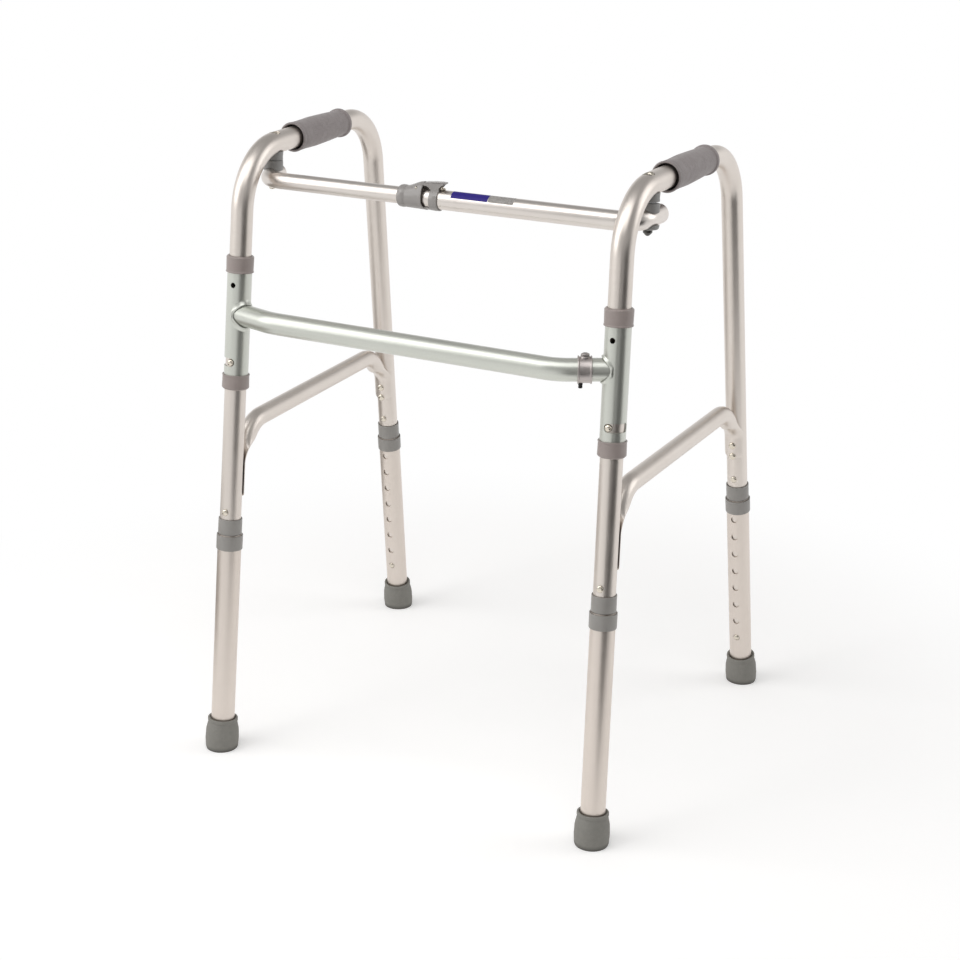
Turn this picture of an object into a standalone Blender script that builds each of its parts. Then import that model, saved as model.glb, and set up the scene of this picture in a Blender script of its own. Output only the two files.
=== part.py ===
"""Folding aluminium walker: two bent side frames that turn in the sleeves of a front crossbar,
a telescoping locking bar under the handles, and four legs that slide for height.

Metres, +Z up. The origin is on the floor under the middle of the footprint, the front of the
walker faces -Y, and the two sides are mirror images in X.
"""
import math

import bmesh
import bpy
from mathutils import Matrix, Vector

for old in list(bpy.data.objects):
    bpy.data.objects.remove(old, do_unlink=True)

# Clearances and mesh fineness
SEAT_GAP = 0.0003        # between a piece and what it is fixed to
RUN_GAP = 0.0004         # round a tube that turns or slides in another
PIN_GAP = 0.0003         # round a pin, rivet or bolt in its hole
TUBE_SIDES = 14
BRACE_SIDES = 12
PIN_SIDES = 8
SADDLE_SIDES = 12
BEND_STEPS = 5

# Side frame plane: its middle at the floor, its toe-out in plan and its lean towards the middle
SIDE_X = 0.2550
SIDE_Y = -0.0460
TOE_OUT = math.radians(1.54)
SPLAY = math.radians(1.41)

# Side frame, in the plane's own u (rearward) and v (upward)
FRAME_RADIUS = 0.0127
FRAME_WALL = 0.0012
FRONT_FOOT_U = -0.1964
REAR_FOOT_U = 0.2888
FRONT_LEAN = math.radians(4.94)
REAR_LEAN = math.radians(8.855)
HANDLE_V = 0.7325
FRAME_BEND_RADIUS = 0.072
FRAME_END_V = 0.0600

# Height adjustment
LEG_RADIUS = 0.0143
LEG_WALL = 0.0012
HOLE_PITCH = 0.0254
HOLE_COUNT = 8
LOWEST_HOLE_V = 0.0727
CLIP_BUTTON_RADIUS = 0.0040
CLIP_BUTTON_PROUD = 0.0018
LEG_COLLAR_TOP_V = {"front": 0.2771, "rear": 0.2743}
LEG_COLLAR_HEIGHT = 0.0218
LEG_COLLAR_RADIUS = 0.0158
COLLAR_LIP = 0.0018
STOP_COLLAR_HEIGHT = 0.0248
STOP_COLLAR_RADIUS = 0.01425
STOP_RIVET_V = {"front": 0.3067, "rear": 0.3058}
STOP_RIVET_RADIUS = 0.0040
RIVET_SHANK_RADIUS = 0.0022

# Rubber tips
TIP_HEIGHT = 0.0405
TIP_RADIUS = 0.02125
TIP_RIM_RADIUS = 0.0184
TIP_SOLE = 0.0100

# Hinge sleeves on the front legs, with their bushes, measured from the crossbar's height
SLEEVE_RADIUS = 0.0143
SLEEVE_WALL = 0.0012
CROSS_Z = 0.5460
LOWER_BUSH_V = CROSS_Z - 0.0820
UPPER_BUSH_V = CROSS_Z + 0.0580
BUSH_HEIGHT = 0.0215
BUSH_RADIUS = 0.0160
BUSH_CUP = 0.0080
SLEEVE_BUTTON_V = CROSS_Z - 0.0560
SLOT_HEIGHT = 0.0100
SLOT_SWING = math.radians(84)
SLEEVE_HOLE_V = CROSS_Z + 0.0370
SLEEVE_HOLE_RADIUS = 0.0027

# Front crossbar
CROSS_RADIUS = 0.0127
CROSS_WALL = 0.0012
CROSS_Y = -0.2195
CROSS_CORNER_X = 0.1800
CROSS_BEND_RADIUS = 0.060
CLAMP_FROM_SLEEVE = 0.0310
CLAMP_WIDTH = 0.0160
CLAMP_THICKNESS = 0.0015

# Side brace
BRACE_V = 0.4060
BRACE_RADIUS = 0.0110
BRACE_WALL = 0.0012
BRACE_FRONT_BEND = 0.0406
BRACE_REAR_BEND = 0.0422
BRACE_FRONT_END_V = 0.3150
BRACE_REAR_END_V = 0.3330
BRACE_FLAT_THICKNESS = 0.0028
BRACE_FLAT_WRAP = math.radians(62)
BRACE_RIVET_V = {"front": (0.3270, 0.3420), "rear": (0.3399, 0.3546)}
BRACE_RIVET_RADIUS = 0.0045

# Hand grips
GRIP_FRONT_U = -0.0250
GRIP_LENGTH = 0.1180
GRIP_RADIUS = 0.0180
GRIP_FRONT_NECK = 0.01675
GRIP_REAR_NECK = 0.01575

# Telescoping locking bar
BAR_Y = -0.1420
BAR_UNDER_HANDLE = 0.03678
BAR_Z = HANDLE_V * math.cos(SPLAY) - BAR_UNDER_HANDLE
BAR_BEND_RADIUS = 0.027
INNER_RADIUS = 0.0095
INNER_WALL = 0.0010
OUTER_RADIUS = 0.0110
OUTER_WALL = 0.0012
INNER_STUB_U = -0.0440
OUTER_STUB_U = -0.0220
INNER_END_X = 0.0750
OUTER_END_X = -0.0160
PLUG_LENGTH = 0.0140

# Bolts and saddles that carry the bar under the handles
BOLT_U = -0.0690
BOLT_AT_V = HANDLE_V - 0.0215   # the height at which BOLT_U is taken
BOLT_RADIUS = 0.0030
BOLT_HEAD_RADIUS = 0.0065
BOLT_HEAD_HEIGHT = 0.0030
NUT_RADIUS = 0.0052
NUT_HEIGHT = 0.0055
SADDLE_RADIUS = 0.0115
SADDLE_WALL = 0.0040
LEFT_PIVOT_GAP = 0.0004
RIGHT_PIVOT_GAP = 0.0020
LOWER_SADDLE_DEPTH = 0.0065

# Lock at the middle of the bar
NECK_START_X = -0.0570
NECK_END_X = -0.0450
NECK_RADIUS = 0.0123
MOUTH_X = -0.0210
MOUTH_TOP = 0.0190
MOUTH_HALF_WIDTH = 0.0135
HOUSING_WALL = 0.0018
LOCK_RING_END_X = -0.0030
LOCK_RING_THICKNESS = 0.0014
LEVER_PIN_X = -0.0270
LEVER_PIN_Z = 0.0124
LEVER_PIN_RADIUS = 0.0012
LEVER_HALF_WIDTH = 0.0035
LEVER_TIP_X = 0.0065
LOCK_BUTTON_X = 0.0015
LOCK_BUTTON_RADIUS = 0.0040
LOCK_BUTTON_TOP = 0.0146

SIDES = {"left": -1, "right": 1}


def material(name, colour, roughness, metallic):
    """A Principled material from a linear colour."""
    mat = bpy.data.materials.new(name)
    mat.use_nodes = True
    shader = mat.node_tree.nodes["Principled BSDF"]
    shader.inputs["Base Color"].default_value = (*colour, 1.0)
    shader.inputs["Roughness"].default_value = roughness
    shader.inputs["Metallic"].default_value = metallic
    mat.diffuse_color = (*colour, 1.0)
    return mat


ALUMINIUM = material("satin_aluminium", (0.68, 0.61, 0.56), 0.35, 1.0)
CROSS_ALUMINIUM = material("grey_aluminium", (0.48, 0.53, 0.48), 0.40, 1.0)
BUSH_PLASTIC = material("bush_plastic", (0.27, 0.24, 0.22), 0.55, 0.0)
COLLAR_PLASTIC = material("collar_plastic", (0.27, 0.26, 0.25), 0.50, 0.0)
GRIP_FOAM = material("grip_vinyl", (0.27, 0.24, 0.24), 0.75, 0.0)
TIP_RUBBER = material("tip_rubber", (0.19, 0.18, 0.16), 0.80, 0.0)
CHROME = material("bright_steel", (0.75, 0.72, 0.66), 0.18, 1.0)
STEEL = material("dark_steel", (0.16, 0.16, 0.16), 0.45, 1.0)
BLACK_PLASTIC = material("black_plastic", (0.02, 0.02, 0.02), 0.5, 0.0)


def side_axes(side):
    """The rearward and upward unit vectors of a side frame's plane."""
    sign = SIDES[side]
    back = Vector((sign * math.sin(TOE_OUT), math.cos(TOE_OUT), 0))
    up = Vector((-sign * math.sin(SPLAY), 0, math.cos(SPLAY)))
    up = (up - back * up.dot(back)).normalized()
    return back, up


def side_point(side, u, v):
    """The point at u rearward and v upward in a side frame's plane."""
    back, up = side_axes(side)
    return Vector((SIDES[side] * SIDE_X, SIDE_Y, 0)) + back * u + up * v


def leg_u(leg, v):
    """How far rearward a leg's axis is at height v."""
    if leg == "front":
        return FRONT_FOOT_U + math.tan(FRONT_LEAN) * v
    return REAR_FOOT_U - math.tan(REAR_LEAN) * v


def leg_frame(side, leg, v):
    """A frame on a leg's axis: Z up the leg, Y rearward, X towards world +X on both sides."""
    back, up = side_axes(side)
    lean = FRONT_LEAN if leg == "front" else -REAR_LEAN
    along = (up * math.cos(lean) + back * math.sin(lean)).normalized()
    rear = (back * math.cos(lean) - up * math.sin(lean)).normalized()
    return frame_at(side_point(side, leg_u(leg, v), v), rear.cross(along), rear, along)


def bolt_frame(side, v):
    """A frame on the pivot bolt's axis, which is parallel to the front leg."""
    frame = leg_frame(side, "front", BOLT_AT_V)
    shift = side_point(side, BOLT_U, BOLT_AT_V) - frame.translation
    step = (v - BOLT_AT_V) / math.cos(FRONT_LEAN)
    frame.translation = frame.translation + shift + frame.col[2].to_3d() * step
    return frame


def frame_at(point, x_axis, y_axis, z_axis):
    """A placement matrix from a point and three unit axes."""
    rows = Matrix((x_axis, y_axis, z_axis)).transposed()
    return Matrix.Translation(point) @ rows.to_4x4()


def new_object(name, bm, mat, frame=None, parent=None):
    """An object whose mesh is given in the frame's own coordinates, shaded smooth."""
    mesh = bpy.data.meshes.new(name)
    bmesh.ops.recalc_face_normals(bm, faces=bm.faces)
    bm.to_mesh(mesh)
    bm.free()
    mesh.shade_smooth()
    mesh.set_sharp_from_angle(angle=math.radians(35))
    obj = bpy.data.objects.new(name, mesh)
    bpy.context.collection.objects.link(obj)
    if mat is not None:
        mesh.materials.append(mat)
    if parent is not None:
        obj.parent = parent
        obj.matrix_parent_inverse = parent.matrix_world.inverted()
    obj.matrix_world = frame if frame is not None else Matrix.Identity(4)
    return obj


def joint_empty(name, frame, parent=None):
    """An empty on a joint's axis, which carries the pieces that the joint moves."""
    empty = bpy.data.objects.new(name, None)
    empty.empty_display_size = 0.02
    bpy.context.collection.objects.link(empty)
    if parent is not None:
        empty.parent = parent
        empty.matrix_parent_inverse = parent.matrix_world.inverted()
    empty.matrix_world = frame
    bpy.context.view_layer.update()
    return empty


def helper(name, bm, frame=None):
    """A cutter or a shape to add, left out of the render and of the part."""
    obj = new_object(name, bm, None, frame)
    obj.display_type = "WIRE"
    obj.hide_render = True
    return obj


def combine(obj, other, operation):
    """A Boolean modifier with the exact solver."""
    mod = obj.modifiers.new(other.name, "BOOLEAN")
    mod.operation = operation
    mod.solver = "EXACT"
    mod.object = other


def skin(bm, rings, closed, mirrored=False):
    """Faces between rings of equal length; closed joins the last ring to the first.

    With mirrored, quads are split so that the two halves of each ring match like mirror
    images, which keeps the walls of a flattened tube parallel.
    """
    verts = [[bm.verts.new(co) for co in ring] for ring in rings]
    count = len(verts[0])
    pairs = list(zip(verts, verts[1:]))
    if closed:
        pairs.append((verts[-1], verts[0]))
    for low, high in pairs:
        for i in range(count):
            j = (i + 1) % count
            if not mirrored:
                bm.faces.new((low[i], low[j], high[j], high[i]))
            elif i < count // 2:
                bm.faces.new((low[i], low[j], high[j]))
                bm.faces.new((low[i], high[j], high[i]))
            else:
                bm.faces.new((low[i], low[j], high[i]))
                bm.faces.new((low[j], high[j], high[i]))
    if not closed:
        bm.faces.new(list(reversed(verts[0])))
        bm.faces.new(verts[-1])


def turned(profile, sides=TUBE_SIDES):
    """A profile of (radius, height) pairs spun round Z into a closed solid."""
    bm = bmesh.new()
    verts = [bm.verts.new((r, 0, z)) for r, z in profile]
    edges = [bm.edges.new(pair) for pair in zip(verts, verts[1:])]
    if profile[0][0] > 0 or profile[-1][0] > 0:
        edges.append(bm.edges.new((verts[-1], verts[0])))
    bmesh.ops.spin(bm, geom=verts + edges, cent=(0, 0, 0), axis=(0, 0, 1),
                   angle=math.tau, steps=sides)
    bmesh.ops.remove_doubles(bm, verts=bm.verts, dist=1e-6)
    if sides < TUBE_SIDES:
        # half a facet round, so that no corner of a hole falls on an edge of the tube
        bm.transform(Matrix.Rotation(math.pi / sides, 4, "Z"))
    return bm


def rod(radius, low, high, sides=PIN_SIDES):
    """A plain cylinder round Z from one height to another."""
    return turned([(0, low), (radius, low), (radius, high), (0, high)], sides)


def add_rod(bm, frame, radius, low, high, sides=PIN_SIDES):
    """A cylinder round a frame's Z, added to a mesh in world coordinates."""
    piece = rod(radius, low, high, sides)
    piece.transform(frame)
    mesh = bpy.data.meshes.new("piece")
    piece.to_mesh(mesh)
    piece.free()
    bm.from_mesh(mesh)
    bpy.data.meshes.remove(mesh)


def facing(frame, direction):
    """A leg's frame turned so that its Z points to the front (-1) or the rear (+1)."""
    x_axis, y_axis, z_axis = (frame.col[i].to_3d() for i in range(3))
    return frame_at(frame.translation, x_axis * -direction, z_axis, y_axis * direction)


def rounded_path(corners, radii, steps=BEND_STEPS):
    """A polyline with its inner corners rounded to the given radii."""
    points = [corners[0]]
    for before, corner, after, radius in zip(corners, corners[1:], corners[2:], radii):
        come = (corner - before).normalized()
        go = (after - corner).normalized()
        turn = come.angle(go)
        reach = radius * math.tan(turn / 2)
        start = corner - come * reach
        axis = come.cross(go).normalized()
        centre = start + axis.cross(come) * radius
        for k in range(steps + 1):
            spin = Matrix.Rotation(turn * k / steps, 3, axis)
            points.append(centre + spin @ (start - centre))
    points.append(corners[-1])
    return points


def path_frames(points, normal):
    """At each point of a flat path: the point, the path's normal and its sideways vector."""
    frames = []
    last = len(points) - 1
    for i, point in enumerate(points):
        come = (points[max(i, 1)] - points[max(i, 1) - 1]).normalized()
        go = (points[min(i + 1, last)] - points[min(i, last - 1)]).normalized()
        along = (come + go).normalized()
        frames.append((point, normal, along.cross(normal).normalized()))
    return frames


def circle(frame, radius, sides=TUBE_SIDES):
    """A ring of points round a path's point."""
    point, first, second = frame
    angles = [math.tau * k / sides for k in range(sides)]
    return [point + first * (radius * math.cos(a)) + second * (radius * math.sin(a))
            for a in angles]


def tube(points, normal, radius, wall, sides=TUBE_SIDES):
    """A hollow tube along a flat path, open at both ends."""
    frames = path_frames(points, normal)
    outer = [circle(frame, radius, sides) for frame in frames]
    inner = [circle(frame, radius - wall, sides) for frame in reversed(frames)]
    bm = bmesh.new()
    skin(bm, outer + inner, True)
    return bm


def solid_tube(points, normal, radius, sides=TUBE_SIDES):
    """A solid round bar along a flat path, for cutting a seat."""
    bm = bmesh.new()
    skin(bm, [circle(frame, radius, sides) for frame in path_frames(points, normal)], False)
    return bm


def plane_normal(side):
    """The side plane's normal, which points towards world +X on both sides."""
    back, up = side_axes(side)
    return back.cross(up)


def frame_path(side):
    """The bent tube's centre line: up the front leg, along the handle, down the rear leg."""
    corners = [(leg_u("front", FRAME_END_V), FRAME_END_V),
               (leg_u("front", HANDLE_V), HANDLE_V),
               (leg_u("rear", HANDLE_V), HANDLE_V),
               (leg_u("rear", FRAME_END_V), FRAME_END_V)]
    return rounded_path([side_point(side, u, v) for u, v in corners],
                        [FRAME_BEND_RADIUS, FRAME_BEND_RADIUS])


def clip_direction(leg):
    """Height buttons face rearward on the front legs and forward on the rear legs."""
    return 1 if leg == "front" else -1


def make_frame_tube(side, parent):
    """The bent tube with its holes for clips, rivets and the pivot bolt."""
    points = frame_path(side)
    normal = plane_normal(side)
    obj = new_object(f"{side}_frame_tube", tube(points, normal, FRAME_RADIUS, FRAME_WALL),
                     ALUMINIUM, None, parent)
    holes = bmesh.new()
    wall_in = FRAME_RADIUS - FRAME_WALL * 3
    wall_out = FRAME_RADIUS + FRAME_WALL * 2
    for leg in ("front", "rear"):
        clip = facing(leg_frame(side, leg, LOWEST_HOLE_V), clip_direction(leg))
        add_rod(holes, clip, CLIP_BUTTON_RADIUS + PIN_GAP, wall_in, wall_out)
        rivet = facing(leg_frame(side, leg, STOP_RIVET_V[leg]), -1)
        add_rod(holes, rivet, RIVET_SHANK_RADIUS + PIN_GAP, wall_in, wall_out)
    sleeve_clip = facing(leg_frame(side, "front", SLEEVE_BUTTON_V), -1)
    add_rod(holes, sleeve_clip, CLIP_BUTTON_RADIUS + PIN_GAP, wall_in, wall_out)
    reach = FRAME_RADIUS * 1.5
    add_rod(holes, bolt_frame(side, HANDLE_V), BOLT_RADIUS + PIN_GAP, -reach, reach)
    combine(obj, helper(f"{side}_frame_holes", holes), "DIFFERENCE")


def brace_section(frame, radius, wrap, thickness, flat):
    """A ring between a round tube (flat 0) and a strip curved round the leg (flat 1)."""
    point, first, second = frame
    arc = FRAME_RADIUS + SEAT_GAP + BRACE_FLAT_THICKNESS / 2
    pressed = BRACE_RADIUS - BRACE_FLAT_THICKNESS / 2
    ring = []
    for k in range(BRACE_SIDES):
        a = math.tau * k / BRACE_SIDES
        swing = wrap * (abs(2 - 4 * k / BRACE_SIDES) - 1)
        lift = math.copysign(math.sqrt(abs(math.sin(a))), math.sin(a))
        reach = arc + thickness / 2 * lift
        across = radius * math.cos(a) * (1 - flat) + reach * math.sin(swing) * flat
        seat = reach * math.cos(swing) - arc - pressed
        away = radius * math.sin(a) * (1 - flat) + seat * flat
        ring.append(point + first * across + second * away)
    return ring


def make_brace(side, parent):
    """The side brace: a tube with both ends flattened round the legs and riveted."""
    stand = FRAME_RADIUS + SEAT_GAP + BRACE_RADIUS
    front_off = stand / math.cos(FRONT_LEAN)
    rear_off = stand / math.cos(REAR_LEAN)
    flat_front_v = BRACE_RIVET_V["front"][1] + BRACE_RIVET_RADIUS * 1.5
    flat_rear_v = BRACE_RIVET_V["rear"][1] + BRACE_RIVET_RADIUS * 1.5
    front = [side_point(side, leg_u("front", v) + front_off, v)
             for v in (BRACE_FRONT_END_V, flat_front_v, BRACE_V)]
    rear = [side_point(side, leg_u("rear", v) - rear_off, v)
            for v in (BRACE_V, flat_rear_v, BRACE_REAR_END_V)]
    bend = rounded_path([front[1], front[2], rear[0], rear[1]],
                        [BRACE_FRONT_BEND, BRACE_REAR_BEND], BEND_STEPS)
    points = [front[0]] + bend + [rear[2]]
    frames = path_frames(points, plane_normal(side))
    lengths = [0.0]
    for a, b in zip(points, points[1:]):
        lengths.append(lengths[-1] + (b - a).length)
    keep_front = (front[1] - front[0]).length
    keep_rear = (rear[2] - rear[1]).length
    morph = BRACE_RADIUS * 3.2
    outer, inner = [], []
    for frame, s in zip(frames, lengths):
        ends = ((s - keep_front) / morph, (lengths[-1] - s - keep_rear) / morph)
        t = min(max(min(ends), 0.0), 1.0)
        flat = 1 - t * t * (3 - 2 * t)
        outer.append(brace_section(frame, BRACE_RADIUS, BRACE_FLAT_WRAP,
                                   BRACE_FLAT_THICKNESS, flat))
        inner.append(brace_section(frame, BRACE_RADIUS - BRACE_WALL, BRACE_FLAT_WRAP * 0.9,
                                   BRACE_FLAT_THICKNESS - 2 * BRACE_WALL, flat))
    bm = bmesh.new()
    skin(bm, outer + inner[::-1], True, True)
    obj = new_object(f"{side}_brace", bm, ALUMINIUM, None, parent)
    rivets = bmesh.new()
    strip_top = FRAME_RADIUS + SEAT_GAP + BRACE_FLAT_THICKNESS
    rim = math.sqrt(strip_top ** 2 - BRACE_RIVET_RADIUS ** 2) - BRACE_WALL * 0.2
    profile = [(0, rim), (BRACE_RIVET_RADIUS, rim), (BRACE_RIVET_RADIUS, strip_top + 0.0004),
               (BRACE_RIVET_RADIUS * 0.62, strip_top + 0.0018), (0, strip_top + 0.0023)]
    for leg in ("front", "rear"):
        for v in BRACE_RIVET_V[leg]:
            head = turned(profile, PIN_SIDES)
            head.transform(facing(leg_frame(side, leg, v), clip_direction(leg)))
            mesh = bpy.data.meshes.new("head")
            head.to_mesh(mesh)
            head.free()
            rivets.from_mesh(mesh)
            bpy.data.meshes.remove(mesh)
    combine(obj, helper(f"{side}_brace_rivets", rivets), "UNION")


def make_grip(side, parent):
    """The hand grip: a flared front rim, a full barrel and a necked rear rim."""
    back, up = side_axes(side)
    normal = plane_normal(side)
    frame = frame_at(side_point(side, GRIP_FRONT_U, HANDLE_V), normal,
                     back.cross(normal), back)
    bore = FRAME_RADIUS + SEAT_GAP
    rim = GRIP_RADIUS * 0.22
    profile = [(bore, 0), (GRIP_RADIUS - 0.0008, 0), (GRIP_RADIUS, rim * 0.4),
               (GRIP_RADIUS, rim), (GRIP_FRONT_NECK, rim * 1.9),
               (GRIP_RADIUS, GRIP_LENGTH * 0.40), (GRIP_RADIUS - 0.0006, GRIP_LENGTH * 0.68),
               (GRIP_REAR_NECK, GRIP_LENGTH - rim * 2.2), (GRIP_RADIUS, GRIP_LENGTH - rim),
               (GRIP_RADIUS, GRIP_LENGTH), (bore, GRIP_LENGTH)]
    new_object(f"{side}_grip", turned(profile), GRIP_FOAM, frame, parent)


def make_clip(name, frame, parent):
    """A leaf spring folded inside a tube, with the domed button that it pushes out."""
    leaf = 0.0008
    bore = FRAME_RADIUS - FRAME_WALL
    near = bore - leaf * 2
    far = near - CLIP_BUTTON_RADIUS * 1.5
    length = CLIP_BUTTON_RADIUS * 5
    half = CLIP_BUTTON_RADIUS * 0.85
    path = [(near, -CLIP_BUTTON_RADIUS * 1.4), (near, length), ((near + far) / 2, length * 1.15),
            (far, length), (far, 0)]
    inner = [(near - leaf, -CLIP_BUTTON_RADIUS * 1.4), (near - leaf, length - leaf),
             ((near + far) / 2, length * 1.15 - leaf), (far + leaf, length - leaf),
             (far + leaf, 0)]
    bm = bmesh.new()
    rings = []
    for (r1, h1), (r2, h2) in zip(path, inner):
        rings.append([Vector((-half, h1, r1)), Vector((half, h1, r1)),
                      Vector((half, h2, r2)), Vector((-half, h2, r2))])
    skin(bm, rings, False)
    obj = new_object(name, bm, CHROME, frame, parent)
    top = LEG_RADIUS + CLIP_BUTTON_PROUD
    button = turned([(0, near - leaf / 2), (CLIP_BUTTON_RADIUS, near - leaf / 2),
                     (CLIP_BUTTON_RADIUS, top - 0.0014), (CLIP_BUTTON_RADIUS * 0.7, top - 0.0004),
                     (0, top)], PIN_SIDES)
    combine(obj, helper(f"{name}_button", button, frame), "UNION")


def make_stop(side, leg, parent):
    """The collar that stops the sliding leg, and the rivet above it."""
    frame = leg_frame(side, leg, LEG_COLLAR_TOP_V[leg])
    low = SEAT_GAP - COLLAR_LIP
    high = low + STOP_COLLAR_HEIGHT
    bore = FRAME_RADIUS + SEAT_GAP
    profile = [(bore, low), (STOP_COLLAR_RADIUS, low), (STOP_COLLAR_RADIUS, high - 0.0006),
               (STOP_COLLAR_RADIUS - 0.0006, high), (bore, high)]
    new_object(f"{side}_{leg}_stop_collar", turned(profile), COLLAR_PLASTIC, frame, parent)
    seat = FRAME_RADIUS + SEAT_GAP
    profile = [(0, FRAME_RADIUS - FRAME_WALL - 0.0008),
               (RIVET_SHANK_RADIUS, FRAME_RADIUS - FRAME_WALL - 0.0008),
               (RIVET_SHANK_RADIUS, seat), (STOP_RIVET_RADIUS, seat),
               (STOP_RIVET_RADIUS * 0.8, seat + 0.0013), (0, seat + 0.0022)]
    rivet_frame = facing(leg_frame(side, leg, STOP_RIVET_V[leg]), -1)
    new_object(f"{side}_{leg}_stop_rivet", turned(profile, PIN_SIDES), CHROME, rivet_frame, parent)


def make_leg(side, leg, parent):
    """The sliding leg tube with its row of holes, its collar and its rubber tip."""
    lean = FRONT_LEAN if leg == "front" else REAR_LEAN
    frame = leg_frame(side, leg, 0)
    axis = joint_empty(f"{side}_{leg}_leg_slide", frame, parent)
    top = LEG_COLLAR_TOP_V[leg] / math.cos(lean)
    tube_top = top - COLLAR_LIP
    bore = LEG_RADIUS - LEG_WALL
    profile = [(bore, TIP_SOLE + SEAT_GAP), (LEG_RADIUS, TIP_SOLE + SEAT_GAP),
               (LEG_RADIUS, tube_top), (bore, tube_top)]
    obj = new_object(f"{side}_{leg}_leg_tube", turned(profile), ALUMINIUM, frame, axis)
    holes = bmesh.new()
    for k in range(HOLE_COUNT):
        v = LOWEST_HOLE_V + k * HOLE_PITCH * math.cos(lean)
        hole = facing(leg_frame(side, leg, v), clip_direction(leg))
        add_rod(holes, hole, CLIP_BUTTON_RADIUS + PIN_GAP, bore - LEG_WALL * 2,
                LEG_RADIUS + LEG_WALL * 2)
    combine(obj, helper(f"{side}_{leg}_leg_holes", holes), "DIFFERENCE")

    seat = LEG_RADIUS + SEAT_GAP
    low = top - LEG_COLLAR_HEIGHT
    profile = [(seat, low), (LEG_COLLAR_RADIUS - 0.0010, low), (LEG_COLLAR_RADIUS, low + 0.0014),
               (LEG_COLLAR_RADIUS, top - 0.0012), (seat + 0.0005, top), (seat, top - 0.0006)]
    new_object(f"{side}_{leg}_leg_collar", turned(profile), COLLAR_PLASTIC, frame, axis)

    profile = [(0, -0.0080), (TIP_RADIUS * 0.72, -0.0080), (TIP_RADIUS * 0.95, TIP_HEIGHT * 0.10),
               (TIP_RADIUS, TIP_HEIGHT * 0.34), (TIP_RADIUS * 0.96, TIP_HEIGHT * 0.60),
               (TIP_RIM_RADIUS * 0.985, TIP_HEIGHT - 0.0045), (TIP_RIM_RADIUS, TIP_HEIGHT - 0.0035),
               (TIP_RIM_RADIUS, TIP_HEIGHT), (seat, TIP_HEIGHT), (seat, TIP_SOLE), (0, TIP_SOLE)]
    bm = turned(profile)
    to_local = frame.inverted()
    floor_point = to_local @ Vector((frame.translation.x, frame.translation.y, 0))
    floor_normal = to_local.to_3x3() @ Vector((0, 0, 1))
    bmesh.ops.bisect_plane(bm, geom=bm.verts[:] + bm.edges[:] + bm.faces[:], dist=1e-7,
                           plane_co=floor_point, plane_no=floor_normal, clear_inner=True)
    bmesh.ops.holes_fill(bm, edges=[e for e in bm.edges if e.is_boundary])
    new_object(f"{side}_{leg}_tip", bm, TIP_RUBBER, frame, axis)

    clip_frame = facing(leg_frame(side, leg, LOWEST_HOLE_V), clip_direction(leg))
    press = joint_empty(f"{side}_{leg}_button_press", clip_frame, parent)
    make_clip(f"{side}_{leg}_height_clip", clip_frame, press)


def make_side_frame(side, fold):
    """One side: everything that turns with it about the front leg."""
    make_frame_tube(side, fold)
    make_brace(side, fold)
    make_grip(side, fold)
    for leg in ("front", "rear"):
        make_stop(side, leg, fold)
        make_leg(side, leg, fold)
    clip_frame = facing(leg_frame(side, "front", SLEEVE_BUTTON_V), -1)
    press = joint_empty(f"{side}_sleeve_button_press", clip_frame, fold)
    make_clip(f"{side}_sleeve_clip", clip_frame, press)


def make_sleeve(side):
    """The hinge sleeve with the slot that its button swings in, and a bush at each end."""
    frame = leg_frame(side, "front", LOWER_BUSH_V)
    span = (UPPER_BUSH_V - LOWER_BUSH_V) / math.cos(FRONT_LEAN)
    low = BUSH_HEIGHT / 2 - BUSH_CUP + SEAT_GAP
    bore = SLEEVE_RADIUS - SLEEVE_WALL
    profile = [(bore, low), (SLEEVE_RADIUS, low), (SLEEVE_RADIUS, span - low), (bore, span - low)]
    obj = new_object(f"{side}_sleeve", turned(profile), CROSS_ALUMINIUM, frame)

    sign = SIDES[side]
    margin = SLOT_HEIGHT / 2 / SLEEVE_RADIUS
    steps = 8
    height = (SLEEVE_BUTTON_V - LOWER_BUSH_V) / math.cos(FRONT_LEAN)
    slot = bmesh.new()
    rings = []
    for k in range(steps + 1):
        a = -margin + (SLOT_SWING + 2 * margin) * k / steps
        out = Vector((sign * math.sin(a), -math.cos(a), 0))
        near, far = out * (bore - SLEEVE_WALL), out * (SLEEVE_RADIUS + SLEEVE_WALL * 2)
        up = Vector((0, 0, height))
        half = Vector((0, 0, SLOT_HEIGHT / 2))
        rings.append([near + up - half, far + up - half, far + up + half, near + up + half])
    skin(slot, rings, False)
    combine(obj, helper(f"{side}_sleeve_slot", slot, frame), "DIFFERENCE")
    hole = bmesh.new()
    add_rod(hole, facing(leg_frame(side, "front", SLEEVE_HOLE_V), -1), SLEEVE_HOLE_RADIUS,
            bore - SLEEVE_WALL, SLEEVE_RADIUS + SLEEVE_WALL)
    combine(obj, helper(f"{side}_sleeve_hole", hole), "DIFFERENCE")

    for level, v, flip in (("lower", LOWER_BUSH_V, -1), ("upper", UPPER_BUSH_V, 1)):
        half = BUSH_HEIGHT / 2
        cup = SLEEVE_RADIUS + SEAT_GAP
        ring = FRAME_RADIUS + RUN_GAP
        profile = [(cup, -half), (BUSH_RADIUS, -half), (BUSH_RADIUS, half - 0.0012),
                   (BUSH_RADIUS - 0.0012, half), (ring, half), (ring, -half + BUSH_CUP),
                   (cup, -half + BUSH_CUP)]
        profile = [(r, z * flip) for r, z in profile]
        new_object(f"{side}_{level}_bush", turned(profile), BUSH_PLASTIC,
                   leg_frame(side, "front", v))


def sleeve_point(side):
    """Where the crossbar's centre line meets a sleeve's axis."""
    _, up = side_axes(side)
    v = CROSS_Z / up.z
    return side_point(side, leg_u("front", v), v), v


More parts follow.
